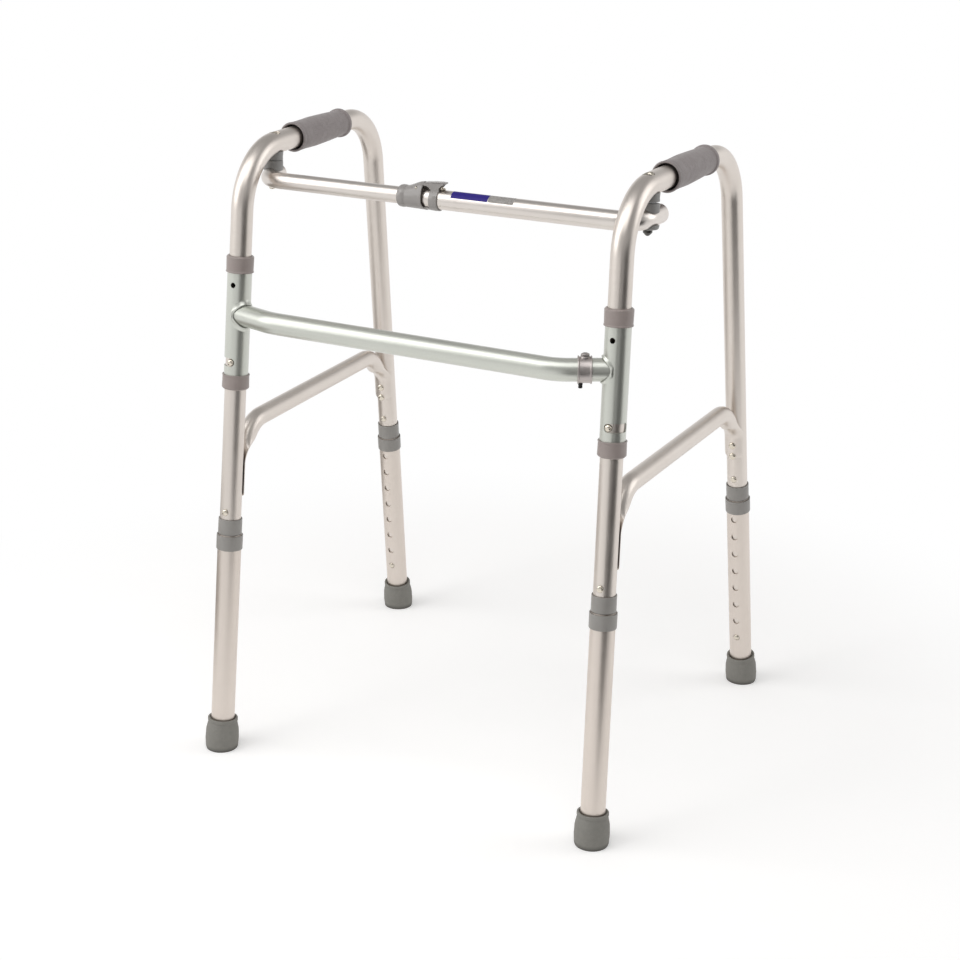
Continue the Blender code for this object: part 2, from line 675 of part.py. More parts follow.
def make_crossbar():
    """The bowed front crossbar, its ends cut to fit the sleeves, and the clamp on it."""
    left, left_v = sleeve_point("left")
    right, right_v = sleeve_point("right")
    corners = [left, Vector((-CROSS_CORNER_X, CROSS_Y, CROSS_Z)),
               Vector((CROSS_CORNER_X, CROSS_Y, CROSS_Z)), right]
    points = rounded_path(corners, [CROSS_BEND_RADIUS, CROSS_BEND_RADIUS], 3)
    obj = new_object("crossbar", tube(points, Vector((0, 0, 1)), CROSS_RADIUS, CROSS_WALL),
                     CROSS_ALUMINIUM)
    for side, v in (("left", left_v), ("right", right_v)):
        reach = CROSS_RADIUS * 2.5
        cope = rod(SLEEVE_RADIUS + SEAT_GAP, -reach, reach, TUBE_SIDES)
        combine(obj, helper(f"{side}_cope", cope, leg_frame(side, "front", v)), "DIFFERENCE")

    along = (right - corners[2]).normalized()
    above = Vector((0, 0, 1))
    centre = right - along * CLAMP_FROM_SLEEVE
    band_frame = frame_at(centre, above, along.cross(above), along)
    bore = CROSS_RADIUS + SEAT_GAP
    outer = bore + CLAMP_THICKNESS
    half = CLAMP_WIDTH / 2
    lip = 0.0007
    edge = 0.0022
    profile = [(bore, -half), (outer + lip, -half), (outer + lip, -half + edge),
               (outer, -half + edge), (outer, half - edge), (outer + lip, half - edge),
               (outer + lip, half), (bore, half)]
    band = new_object("clamp_band", turned(profile), CROSS_ALUMINIUM, band_frame)
    top_frame = frame_at(centre, along, along.cross(above) * -1, above)
    boss_top = outer + 0.0030
    boss = rod(0.0050, outer - 0.0006, boss_top, PIN_SIDES)
    combine(band, helper("clamp_boss", boss, top_frame), "UNION")
    bore_hole = rod(0.0020 + PIN_GAP, outer - 0.0004 + 0.0006, boss_top + 0.002, PIN_SIDES)
    combine(band, helper("clamp_hole", bore_hole, top_frame), "DIFFERENCE")
    screw = [(0, outer + 0.0006), (0.0020, outer + 0.0006), (0.0020, boss_top + SEAT_GAP),
             (0.0042, boss_top + SEAT_GAP), (0.0042, boss_top + 0.0016),
             (0.0030, boss_top + 0.0026), (0, boss_top + 0.0028)]
    new_object("clamp_screw", turned(screw, PIN_SIDES), CHROME, top_frame)
    under = frame_at(centre, along, along.cross(above), above * -1)
    nub = [(0, outer + SEAT_GAP), (0.0048, outer + SEAT_GAP), (0.0048, outer + 0.0030),
           (0.0036, outer + 0.0052), (0, outer + 0.0058)]
    new_object("clamp_nub", turned(nub, PIN_SIDES), BLACK_PLASTIC, under)


def bar_height_v(side):
    """The height in the side plane at which the bolt crosses the bar's level."""
    _, up = side_axes(side)
    return BAR_Z / up.z


def bar_path(side):
    """The bar's centre line on one side: from its middle end, round the corner, to the stub."""
    back, _ = side_axes(side)
    bolt = bolt_frame(side, bar_height_v(side)).translation
    bolt.z = BAR_Z
    corner = bolt + back * ((BAR_Y - bolt.y) / back.y)
    stub_u = INNER_STUB_U if side == "left" else OUTER_STUB_U
    middle_x = INNER_END_X if side == "left" else OUTER_END_X
    bolt_u = (bolt - Vector((SIDES[side] * SIDE_X, SIDE_Y, 0))).dot(back)
    stub = bolt + back * (stub_u - bolt_u)
    return rounded_path([Vector((middle_x, BAR_Y, BAR_Z)), corner, stub], [BAR_BEND_RADIUS], 4)


def pivot_heights(side):
    """Local heights on the bolt's axis: the flat pivot faces, the handle and the lower saddle."""
    radius = INNER_RADIUS if side == "left" else OUTER_RADIUS
    gap = LEFT_PIVOT_GAP if side == "left" else RIGHT_PIVOT_GAP
    handle = (HANDLE_V - bar_height_v(side)) / math.cos(FRONT_LEAN)
    under = handle - FRAME_RADIUS
    middle = (OUTER_RADIUS + under) / 2
    bottom = -(radius + LOWER_SADDLE_DEPTH)
    return middle - gap / 2, middle + gap / 2, handle, bottom


def make_upper_saddle(side, fold):
    """The block on the handle that the bar's own block turns against."""
    _, low, handle, _ = pivot_heights(side)
    bolt = bolt_frame(side, bar_height_v(side))
    bore = BOLT_RADIUS + PIN_GAP
    top = handle - FRAME_RADIUS * 0.45
    wide = SADDLE_RADIUS + SADDLE_WALL * 0.65
    profile = [(bore, low), (SADDLE_RADIUS, low), (SADDLE_RADIUS, low + 0.0020),
               (wide, low + 0.0065), (wide, top), (bore, top)]
    obj = new_object(f"{side}_saddle", turned(profile, SADDLE_SIDES), COLLAR_PLASTIC, bolt, fold)
    seat = solid_tube(frame_path(side), plane_normal(side), FRAME_RADIUS + SEAT_GAP)
    combine(obj, helper(f"{side}_handle_seat", seat), "DIFFERENCE")


def make_bar_saddles(side, parent):
    """The block on top of the bar's end and the tapered one below it, round the bolt."""
    high, _, _, bottom = pivot_heights(side)
    bolt = bolt_frame(side, bar_height_v(side))
    radius = INNER_RADIUS if side == "left" else OUTER_RADIUS
    bore = BOLT_RADIUS + PIN_GAP
    wide = SADDLE_RADIUS + SADDLE_WALL * 0.35
    rim = radius * 0.35
    profile = [(bore, rim), (wide, rim), (wide, high - 0.0030), (SADDLE_RADIUS, high),
               (bore, high)]
    foot = new_object(f"{side}_foot_saddle", turned(profile, SADDLE_SIDES), COLLAR_PLASTIC, bolt,
                      parent)
    profile = [(bore, -rim), (wide, -rim), (wide, -rim - 0.0030),
               (NUT_RADIUS + 0.0012, bottom), (bore, bottom)]
    lower = new_object(f"{side}_lower_saddle", turned(profile, SADDLE_SIDES), COLLAR_PLASTIC, bolt,
                       parent)
    seat = solid_tube(bar_path(side), Vector((0, 0, 1)), radius + SEAT_GAP)
    cutter = helper(f"{side}_bar_seat", seat)
    combine(foot, cutter, "DIFFERENCE")
    combine(lower, cutter, "DIFFERENCE")


def bolt_head_profile(low, handle):
    """A shank with a shallow domed head that clears the handle's crown."""
    seat = handle + FRAME_RADIUS / math.cos(FRONT_LEAN) \
        + BOLT_HEAD_RADIUS * math.tan(FRONT_LEAN) + SEAT_GAP
    return [(0, low), (BOLT_RADIUS, low), (BOLT_RADIUS, seat), (BOLT_HEAD_RADIUS, seat),
            (BOLT_HEAD_RADIUS, seat + BOLT_HEAD_HEIGHT * 0.35),
            (BOLT_HEAD_RADIUS * 0.75, seat + BOLT_HEAD_HEIGHT * 0.8),
            (BOLT_HEAD_RADIUS * 0.4, seat + BOLT_HEAD_HEIGHT),
            (0, seat + BOLT_HEAD_HEIGHT)]


def make_left_pivot(swivel):
    """The whole bolt and its nut, which turn with the bar's swivel."""
    bolt = bolt_frame("left", bar_height_v("left"))
    _, _, handle, bottom = pivot_heights("left")
    nut_top = bottom - SEAT_GAP
    profile = bolt_head_profile(nut_top - NUT_HEIGHT - 0.0010, handle)
    new_object("left_bolt", turned(profile, PIN_SIDES), STEEL, bolt, swivel)
    bore = BOLT_RADIUS + PIN_GAP
    nut = turned([(bore, nut_top - NUT_HEIGHT), (NUT_RADIUS, nut_top - NUT_HEIGHT),
                  (NUT_RADIUS, nut_top), (bore, nut_top)], PIN_SIDES)
    new_object("left_nut", nut, STEEL, bolt, swivel)


def make_right_pivot(fold, outer):
    """The right bolt, parted at the pivot faces: its head part stays with the handle."""
    bolt = bolt_frame("right", bar_height_v("right"))
    high, low, handle, bottom = pivot_heights("right")
    new_object("right_bolt", turned(bolt_head_profile(low, handle), PIN_SIDES), STEEL,
               bolt, fold)
    nut_top = bottom - SEAT_GAP
    profile = [(0, high), (BOLT_RADIUS, high), (BOLT_RADIUS, nut_top), (NUT_RADIUS, nut_top),
               (NUT_RADIUS, nut_top - NUT_HEIGHT), (BOLT_RADIUS, nut_top - NUT_HEIGHT),
               (BOLT_RADIUS, nut_top - NUT_HEIGHT - 0.0010), (0, nut_top - NUT_HEIGHT - 0.0010)]
    new_object("right_nut", turned(profile, PIN_SIDES), STEEL, bolt, outer)


def make_bar_tube(side, name, radius, wall, parent):
    """One half of the telescoping bar, with the bolt's hole and the lock's hole."""
    obj = new_object(name, tube(bar_path(side), Vector((0, 0, 1)), radius, wall),
                     ALUMINIUM, None, parent)
    holes = bmesh.new()
    bolt = bolt_frame(side, bar_height_v(side))
    add_rod(holes, bolt, BOLT_RADIUS + PIN_GAP, -radius * 1.5, radius * 1.5)
    lock = Matrix.Translation((LOCK_BUTTON_X, BAR_Y, BAR_Z))
    add_rod(holes, lock, LOCK_BUTTON_RADIUS + PIN_GAP, radius * 0.5, radius * 1.5)
    combine(obj, helper(f"{name}_holes", holes), "DIFFERENCE")


def housing_ring(x, inset):
    """A ring of the lock housing: round at the neck, tall and open at the mouth."""
    t = min(max((x - NECK_END_X) / (MOUTH_X - NECK_END_X), 0.0), 1.0) ** 1.2
    top = NECK_RADIUS + (MOUTH_TOP - NECK_RADIUS) * t
    half_width = NECK_RADIUS + (MOUTH_HALF_WIDTH - NECK_RADIUS) * t - inset
    middle = (top - NECK_RADIUS) / 2
    half_height = (top + NECK_RADIUS) / 2 - inset
    angles = [math.tau * k / TUBE_SIDES for k in range(TUBE_SIDES)]
    return [Vector((x, half_width * math.cos(a), middle + half_height * math.sin(a)))
            for a in angles]


def make_lock_housing(parent):
    """The trumpet-shaped lock housing: neck, open mouth, side windows and clamping ring."""
    frame = Matrix.Translation((0, BAR_Y, BAR_Z))
    flare = [NECK_END_X + (MOUTH_X - NECK_END_X) * k / 3 for k in range(4)]
    guide = NECK_RADIUS - INNER_RADIUS - RUN_GAP
    edge = 0.0006
    outer = [housing_ring(NECK_START_X, edge), housing_ring(NECK_START_X + edge, 0)]
    outer += [housing_ring(x, 0) for x in flare]
    inner = [housing_ring(x, HOUSING_WALL) for x in reversed(flare)]
    inner += [housing_ring(NECK_END_X - HOUSING_WALL, guide), housing_ring(NECK_START_X, guide)]
    bm = bmesh.new()
    skin(bm, outer + inner, True)
    obj = new_object("lock_housing", bm, COLLAR_PLASTIC, frame, parent)

    ring_start = MOUTH_X + 0.0045
    clasp = OUTER_RADIUS + SEAT_GAP
    rim = clasp + LOCK_RING_THICKNESS
    ring = turned([(clasp, ring_start), (rim, ring_start), (rim, LOCK_RING_END_X),
                   (clasp, LOCK_RING_END_X)])
    ring.transform(Matrix.Rotation(math.radians(90), 4, "Y"))
    combine(obj, helper("lock_ring", ring, frame), "UNION")

    web = bmesh.new()
    rings = []
    for k in range(5):
        a = math.radians(225 + 90 * k / 4)
        out = Vector((0, math.cos(a), math.sin(a)))
        near, far = out * (clasp + 0.0001), out * (rim - 0.0002)
        start = Vector((MOUTH_X - 0.0012, 0, 0))
        end = Vector((ring_start + 0.0012, 0, 0))
        rings.append([near + start, far + start, far + end, near + end])
    skin(web, rings, False)
    combine(obj, helper("lock_web", web, frame), "UNION")

    windows = bmesh.new()
    low, high = Vector((-0.0405, -0.02, -0.0035)), Vector((-0.0290, 0.02, 0.0060))
    box = [[Vector((x, y, low.z)), Vector((x, y, high.z))] for x, y in
           ((low.x, low.y), (high.x, low.y), (high.x, high.y), (low.x, high.y))]
    skin(windows, [[pair[0] for pair in box], [pair[1] for pair in box]], False)
    combine(obj, helper("lock_windows", windows, frame), "DIFFERENCE")
    across = Matrix.Translation((LEVER_PIN_X, BAR_Y, BAR_Z + LEVER_PIN_Z)) \
        @ Matrix.Rotation(math.radians(90), 4, "X")
    reach = MOUTH_HALF_WIDTH * 1.5
    pin_hole = rod(LEVER_PIN_RADIUS + PIN_GAP, -reach, reach, 8)
    combine(obj, helper("lock_pin_hole", pin_hole, across), "DIFFERENCE")
    half = MOUTH_HALF_WIDTH * 0.72
    new_object("lever_pin", rod(LEVER_PIN_RADIUS, -half, half, 8), CHROME, across, parent)


def make_lock_lever(parent):
    """The release lever: a hub on the pin and an arm that reaches over the button."""
    outline = [(-0.0292, 0.0113), (-0.0284, 0.0104), (-0.0262, 0.0102), (-0.0240, 0.0118),
               (MOUTH_X, 0.0136), (LOCK_RING_END_X, 0.0149), (LEVER_TIP_X - 0.002, 0.0156),
               (LEVER_TIP_X, 0.0158), (LEVER_TIP_X, 0.0176), (LEVER_TIP_X - 0.001, 0.0182),
               (LOCK_RING_END_X, 0.0174), (MOUTH_X, 0.0156), (-0.0250, 0.0143),
               (-0.0280, 0.0138), (-0.0293, 0.0130)]
    bm = bmesh.new()
    pin = Vector((LEVER_PIN_X, 0, LEVER_PIN_Z))
    rings = [[Vector((x, y, z)) - pin for x, z in outline]
             for y in (-LEVER_HALF_WIDTH, LEVER_HALF_WIDTH)]
    skin(bm, rings, False)
    frame = Matrix.Translation((LEVER_PIN_X, BAR_Y, BAR_Z + LEVER_PIN_Z))
    obj = new_object("lock_lever", bm, COLLAR_PLASTIC, frame, parent)
    hole = rod(LEVER_PIN_RADIUS + PIN_GAP * 0.5, -LEVER_HALF_WIDTH * 2, LEVER_HALF_WIDTH * 2, 8)
    across = frame @ Matrix.Rotation(math.radians(90), 4, "X")
    combine(obj, helper("lever_hole", hole, across), "DIFFERENCE")


def make_bar(swivel, bar_turn, plug_slide, outer_slide):
    """The locking bar with everything on it."""
    make_left_pivot(swivel)
    make_bar_tube("left", "bar_inner_tube", INNER_RADIUS, INNER_WALL, bar_turn)
    make_bar_saddles("left", bar_turn)
    plug_radius = INNER_RADIUS - INNER_WALL - RUN_GAP
    turn = Matrix.Translation((INNER_END_X - PLUG_LENGTH, BAR_Y, BAR_Z)) \
        @ Matrix.Rotation(math.radians(90), 4, "Y")
    plug = turned([(0, 0), (plug_radius, 0), (plug_radius, PLUG_LENGTH - 0.001),
                   (plug_radius - 0.001, PLUG_LENGTH), (0, PLUG_LENGTH)])
    new_object("bar_end_plug", plug, BLACK_PLASTIC, turn, plug_slide)

    make_bar_tube("right", "bar_outer_tube", OUTER_RADIUS, OUTER_WALL, outer_slide)
    make_bar_saddles("right", outer_slide)
    make_lock_housing(outer_slide)
    lever_axis = Matrix.Translation((LEVER_PIN_X, BAR_Y, BAR_Z + LEVER_PIN_Z))
    make_lock_lever(joint_empty("lever_axis", lever_axis, outer_slide))
    press = Matrix.Translation((LOCK_BUTTON_X, BAR_Y, BAR_Z))
    low = OUTER_RADIUS + SEAT_GAP
    profile = [(0, low), (LOCK_BUTTON_RADIUS, low), (LOCK_BUTTON_RADIUS, low + 0.0015),
               (LOCK_BUTTON_RADIUS * 0.72, LOCK_BUTTON_TOP - 0.0006), (0, LOCK_BUTTON_TOP)]
    axis = joint_empty("lock_button_axis", press, outer_slide)
    new_object("lock_button", turned(profile, PIN_SIDES), CHROME, press, axis)


def main():
    """The whole walker, with an empty on each joint's axis."""
    make_crossbar()
    folds = {}
    for side in SIDES:
        make_sleeve(side)
        fold = joint_empty(f"{side}_fold_axis", leg_frame(side, "front", LOWER_BUSH_V))
        folds[side] = fold
        make_side_frame(side, fold)
        make_upper_saddle(side, fold)
    pivot = bolt_frame("left", bar_height_v("left"))
    swivel = joint_empty("left_swivel_axis", pivot, folds["left"])
    bar_turn = joint_empty("bar_turn_axis", pivot, swivel)
    centre = Matrix.Translation((0, BAR_Y, BAR_Z))
    plug_slide = joint_empty("plug_slide_axis", centre, bar_turn)
    outer_slide = joint_empty("outer_slide_axis", centre, plug_slide)
    make_bar(swivel, bar_turn, plug_slide, outer_slide)
    make_right_pivot(folds["right"], outer_slide)


main()
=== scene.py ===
import math

import bmesh
import bpy
from mathutils import Matrix, Vector


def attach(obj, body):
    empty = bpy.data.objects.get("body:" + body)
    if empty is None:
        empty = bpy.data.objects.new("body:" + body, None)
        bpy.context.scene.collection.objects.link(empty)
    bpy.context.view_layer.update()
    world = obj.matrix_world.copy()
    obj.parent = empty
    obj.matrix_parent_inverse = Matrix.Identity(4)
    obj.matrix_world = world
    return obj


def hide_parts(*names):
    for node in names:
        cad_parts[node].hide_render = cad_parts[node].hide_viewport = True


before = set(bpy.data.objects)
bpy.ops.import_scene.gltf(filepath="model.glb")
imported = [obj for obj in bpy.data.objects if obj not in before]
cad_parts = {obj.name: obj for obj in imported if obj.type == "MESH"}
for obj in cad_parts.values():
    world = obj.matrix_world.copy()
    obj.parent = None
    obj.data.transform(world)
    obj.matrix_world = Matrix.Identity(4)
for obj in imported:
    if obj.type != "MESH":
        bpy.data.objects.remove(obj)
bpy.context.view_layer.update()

scene = bpy.context.scene
scene.view_settings.view_transform = "Standard"

# Camera: a long lens from the walker's front right, a little over handle height
cameraView = {
    "place": (0.95722, -2.00512, 1.13685),
    "heading": 25.885,   # degrees to the left of straight ahead
    "drop": 20.240,      # degrees below the horizon
    "roll": 0.896,
    "lens": 71.526,      # on a 36 mm sensor, for a square picture
}


def newObject(name, data):
    obj = bpy.data.objects.new(name, data)
    scene.collection.objects.link(obj)
    return obj


def turnBy(degrees, axis):
    return Matrix.Rotation(math.radians(degrees), 4, axis)


def makeCamera(view):
    data = bpy.data.cameras.new("studioCamera")
    data.lens = view["lens"]
    data.sensor_width = 36
    data.clip_end = 60
    camera = newObject("studioCamera", data)
    camera.matrix_world = (Matrix.Translation(view["place"]) @ turnBy(view["heading"], "Z")
                           @ turnBy(90 - view["drop"], "X") @ turnBy(view["roll"], "Z"))
    scene.camera = camera


makeCamera(cameraView)
print("camera set")


# sRGB hex to Blender's linear colour
def hexColour(text):
    values = [int(text[i:i + 2], 16) / 255 for i in (1, 3, 5)]
    return tuple(v / 12.92 if v <= 0.04045 else ((v + 0.055) / 1.055) ** 2.4
                 for v in values) + (1.0,)


# sets a node's inputs: a node's first output or an output socket is linked
def setInputs(tree, node, values):
    for key, value in values.items():
        if isinstance(value, bpy.types.Node):
            value = value.outputs[0]
        if isinstance(value, bpy.types.NodeSocket):
            tree.links.new(value, node.inputs[key])
        else:
            node.inputs[key].default_value = value
    return node


# adds one node with its settings and links
def addNode(tree, kind, values=None, items=(), **settings):
    node = tree.nodes.new(kind)
    for name, value in settings.items():
        setattr(node, name, value)
    for itemKind, label in items:
        node.capture_items.new(itemKind, label)
    return setInputs(tree, node, values or {})


# a new Principled material with its plain values on the shader's own sockets
def newFinish(name, colour, roughness, **sockets):
    mat = bpy.data.materials.new(name)
    mat.use_nodes = True
    shader = mat.node_tree.nodes["Principled BSDF"]
    values = {label.replace("_", " "): value for label, value in sockets.items()}
    setInputs(mat.node_tree, shader,
              {"Base Color": hexColour(colour), "Roughness": roughness, **values})
    return mat, mat.node_tree, shader


# Studio: a pale floor that runs into a white backdrop, soft boxes, and dark cards
# that only the metal sees, as a photographer stands them to draw the tubes' dark lines
studio = {
    "floor": "#f4f3f2",
    "floorRadius": 9,
    "floorWhite": (0.45, 0.95),   # metres from the middle: still paint, and all white
    "floorLift": 0.24,            # keeps the lit floor white, its shadows stay
    "backdropSide": (-0.41, 0.84, 0.0),   # the way the camera looks
    "backdropEdge": (-0.5, 0.3),
    "room": 0.60,
    "backdrop": 0.95,
    "ceiling": 0.42,              # how much of that light is left overhead
    "ceilingEdge": (0.15, 0.60),
    "lamps": [
        # name, place, aimed at, width, height, watts
        ("keySoftbox", (-2.1, -1.8, 2.1), (0.0, -0.05, 0.35), 2.4, 2.8, 40),
        ("fillSoftbox", (2.3, 1.3, 1.9), (0.0, 0.0, 0.35), 1.6, 2.0, 14),
        ("topSoftbox", (0.0, -1.3, 2.8), (0.0, 0.0, 0.3), 2.6, 1.8, 26),
    ],
    "cards": [
        # name, a corner, both edges from it, grey
        ("paperEdge", (0.50, -2.6, 0.002), (0.60, 0, 0), (0, 2.10, 0), "#24211e"),
        ("darkFloor", (1.10, -2.6, 0.002), (1.60, 0, 0), (0, 2.45, 0), "#171513"),
        ("darkWall", (2.70, -3.2, 0.0), (0, 3.0, 0), (0, 0, 1.15), "#171513"),
        ("paperShade", (-1.25, -0.70, 0.002), (0.62, 0, 0), (0, 1.1, 0), "#9c968f"),
        ("cameraStand", (0.606, -1.52, 0.0), (0.288, 0.14, 0), (0, 0, 1.0), "#3a3632"),
    ],
}


def makeRoom(settings):
    world = bpy.data.worlds.new("studioRoom")
    scene.world = world
    world.use_nodes = True
    tree = world.node_tree
    tree.nodes.clear()
    path = addNode(tree, "ShaderNodeLightPath")
    place = addNode(tree, "ShaderNodeTexCoord").outputs["Generated"]
    side = addNode(tree, "ShaderNodeVectorMath", {0: place, 1: settings["backdropSide"]},
                   operation="DOT_PRODUCT")
    fade = addNode(tree, "ShaderNodeMapRange",
                   {"Value": side.outputs["Value"], "From Min": settings["backdropEdge"][0],
                    "From Max": settings["backdropEdge"][1], "To Min": settings["room"],
                    "To Max": settings["backdrop"]}, interpolation_type="SMOOTHSTEP")
    height = addNode(tree, "ShaderNodeSeparateXYZ", {"Vector": place})
    overhead = addNode(tree, "ShaderNodeMapRange",
                       {"Value": height.outputs["Z"], "From Min": settings["ceilingEdge"][0],
                        "From Max": settings["ceilingEdge"][1], "To Min": 1.0,
                        "To Max": settings["ceiling"]}, interpolation_type="SMOOTHSTEP")
    room = addNode(tree, "ShaderNodeMath", {0: fade, 1: overhead}, operation="MULTIPLY")
    strength = addNode(tree, "ShaderNodeMix",
                       {"Factor": path.outputs["Is Camera Ray"], 2: room, 3: 1.0})
    light = addNode(tree, "ShaderNodeBackground", {"Color": (1, 1, 1, 1),
                                                   "Strength": strength})
    addNode(tree, "ShaderNodeOutputWorld", {"Surface": light})


def makeFloor(settings):
    bpy.ops.mesh.primitive_circle_add(vertices=96, radius=settings["floorRadius"],
                                      fill_type="NGON")
    floor = bpy.context.object
    floor.name = "studioFloor"
    mat, tree, shader = newFinish("matteFloorPaint", settings["floor"], 0.9,
                                  Specular_IOR_Level=0.1)
    # far from the walker the floor turns into the white of the backdrop
    place = addNode(tree, "ShaderNodeTexCoord").outputs["Object"]
    reach = addNode(tree, "ShaderNodeVectorMath", {0: place}, operation="LENGTH")
    far = addNode(tree, "ShaderNodeMapRange",
                  {"Value": reach.outputs["Value"], "From Min": settings["floorWhite"][0],
                   "From Max": settings["floorWhite"][1]}, interpolation_type="SMOOTHSTEP")
    path = addNode(tree, "ShaderNodeLightPath")
    seen = addNode(tree, "ShaderNodeMath", {0: path.outputs["Is Camera Ray"],
                                            1: path.outputs["Is Glossy Ray"]},
                   operation="MAXIMUM")
    lift = addNode(tree, "ShaderNodeMath", {0: seen, 1: settings["floorLift"]},
                   operation="MULTIPLY")
    setInputs(tree, shader, {"Emission Color": (1, 1, 1, 1), "Emission Strength": lift})
    white = addNode(tree, "ShaderNodeMath", {0: far, 1: seen}, operation="MULTIPLY")
    glow = addNode(tree, "ShaderNodeEmission", {"Color": (1, 1, 1, 1), "Strength": 1.0})
    mix = addNode(tree, "ShaderNodeMixShader", {"Fac": white, 1: shader, 2: glow})
    setInputs(tree, tree.nodes["Material Output"], {"Surface": mix})
    floor.data.materials.append(mat)


def makeLamp(name, place, target, width, height, power):
    data = bpy.data.lights.new(name, "AREA")
    data.shape = "RECTANGLE"
    data.size, data.size_y, data.energy = width, height, power
    away = Vector(place) - Vector(target)
    newObject(name, data).matrix_world = (Matrix.Translation(place)
                                          @ away.to_track_quat("Z", "Y").to_matrix().to_4x4())


def makeCard(name, corner, first, second, grey):
    corner, first, second = Vector(corner), Vector(first), Vector(second)
    mesh = bpy.data.meshes.new(name)
    mesh.from_pydata([corner, corner + first, corner + first + second, corner + second],
                     [], [(0, 1, 2, 3)])
    mesh.materials.append(newFinish(name + "Felt", grey, 1.0, Specular_IOR_Level=0.0)[0])
    card = newObject(name, mesh)
    card.visible_camera = False
    card.visible_diffuse = False
    card.visible_shadow = False
    card.visible_transmission = False


makeRoom(studio)
makeFloor(studio)
for lamp in studio["lamps"]:
    makeLamp(*lamp)
for card in studio["cards"]:
    makeCard(*card)
print("studio set")


# Materials. What they share: a colour between two tones, a roughness that wanders with the
# pattern, and a relief given as (strength, depth in metres)
def dress(tree, shader, look, tone, relief, wander=None, invert=False):
    first, last = (hexColour(text) for text in look["tones"])
    colour = addNode(tree, "ShaderNodeMix", {"Factor": tone, 6: first, 7: last},
                     data_type="RGBA")
    strength, depth = look["relief"]
    bump = addNode(tree, "ShaderNodeBump", {"Height": relief, "Strength": strength,
                                            "Distance": depth}, invert=invert)
    setInputs(tree, shader, {"Base Color": colour.outputs[2], "Normal": bump})
    if "range" in look:
        low, high = look["range"]
        rough = addNode(tree, "ShaderNodeMapRange",
                        {"Value": tone if wander is None else wander, "From Min": 0.3,
                         "From Max": 0.7, "To Min": low, "To Max": high})
        setInputs(tree, shader, {"Roughness": rough})
    return colour, bump


# A finish on Object coordinates: the pattern moves colour and roughness, and the relief
# follows the grain, or the pattern itself where there is none
def makeFinish(name, look, **sockets):
    mat, tree, shader = newFinish(name, look["colour"], look["roughness"], **sockets)
    place = addNode(tree, "ShaderNodeTexCoord").outputs["Object"]
    noises = [addNode(tree, "ShaderNodeTexNoise", {"Vector": place, **look[key]})
              for key in ("pattern", "grain") if key in look]
    colour, bump = dress(tree, shader, look, noises[0], noises[-1])
    if "Coat_Weight" in sockets:
        setInputs(tree, shader, {"Coat Normal": bump})
    if "sole" in look:
        # the colour darkens towards the floor, below a given height
        height = addNode(tree, "ShaderNodeSeparateXYZ", {"Vector": place})
        low = addNode(tree, "ShaderNodeMapRange",
                      {"Value": height.outputs["Z"], "From Min": 0.0,
                       "From Max": look["soleHeight"], "To Min": 0.75, "To Max": 0.0},
                      interpolation_type="SMOOTHSTEP")
        soled = addNode(tree, "ShaderNodeMix",
                        {"Factor": low, 6: colour.outputs[2], 7: hexColour(look["sole"])},
                        data_type="RGBA")
        setInputs(tree, shader, {"Base Color": soled.outputs[2]})
    return mat


# Drawn aluminium tube, etched and anodised: a satin skin with soft lines along the tube,
# left by the die, and a slight cloudiness. The pattern follows the tube round its bends.
def makeAnodised(name, look):
    mat, tree, shader = newFinish(name, look["colour"], look["roughness"], Metallic=1.0)
    tube = addNode(tree, "ShaderNodeAttribute", attribute_name="tubePlace").outputs["Vector"]
    # die lines are a tenth of a millimetre apart; drawn 1.2 mm apart so that they show
    lines = addNode(tree, "ShaderNodeMapping", {"Vector": tube, "Scale": (830, 830, 9)})
    drawn = addNode(tree, "ShaderNodeTexNoise",
                    {"Vector": lines, "Scale": 1.0, "Detail": 2.0, "Roughness": 0.6})
    # clouds of the etch bath, 25 mm across
    clouds = addNode(tree, "ShaderNodeTexNoise",
                     {"Vector": tube, "Scale": 40.0, "Detail": 3.0, "Roughness": 0.5})
    both = addNode(tree, "ShaderNodeMix", {"Factor": 0.7, 2: drawn, 3: clouds})
    dress(tree, shader, look, both, drawn)
    return mat


satinAnodised = makeAnodised("satinAnodisedAluminium", {
    "colour": "#dbd3cb", "tones": ("#d5ccc4", "#e2dbd4"),
    "roughness": 0.37, "range": (0.35, 0.39), "relief": (0.08, 0.00004)})
matteAnodised = makeAnodised("matteAnodisedAluminium", {
    "colour": "#dad0c7", "tones": ("#d3c9c0", "#e1d8d0"),
    "roughness": 0.38, "range": (0.35, 0.41), "relief": (0.08, 0.00005)})
barAnodised = makeAnodised("brightAnodisedBar", {
    "colour": "#dcd5cf", "tones": ("#d6cec8", "#e3ddd7"),
    "roughness": 0.31, "range": (0.29, 0.33), "relief": (0.08, 0.00004)})

# Sprayed metallic lacquer on the crossbar and its sleeves: pale grey-green, with a fine
# orange peel, waves 4 mm long, and a clear coat that gives the crisp line of light
greyGreenLacquer = makeFinish("greyGreenLacquer", {
    "colour": "#cccec6", "tones": ("#c4c6be", "#d3d5cd"), "roughness": 0.36,
    "pattern": {"Scale": 1400.0, "Detail": 1.0}, "grain": {"Scale": 1 / 0.004, "Detail": 0.0},
    "relief": (0.2, 0.0001)}, Metallic=0.85, Coat_Weight=0.35, Coat_Roughness=0.14)


# Injection-moulded plastic: a spark-eroded skin of the given grain, with faint flow marks
def makeMoulded(name, look, ior, grain, bump):
    spread = 0.06
    return makeFinish(name, {
        **look, "range": (look["roughness"] - spread, look["roughness"] + spread),
        "pattern": {"Scale": 60.0, "Detail": 4.0, "Roughness": 0.6},
        "grain": {"Scale": 1 / grain, "Detail": 2.0}, "relief": (bump, 0.0001)}, IOR=ior)


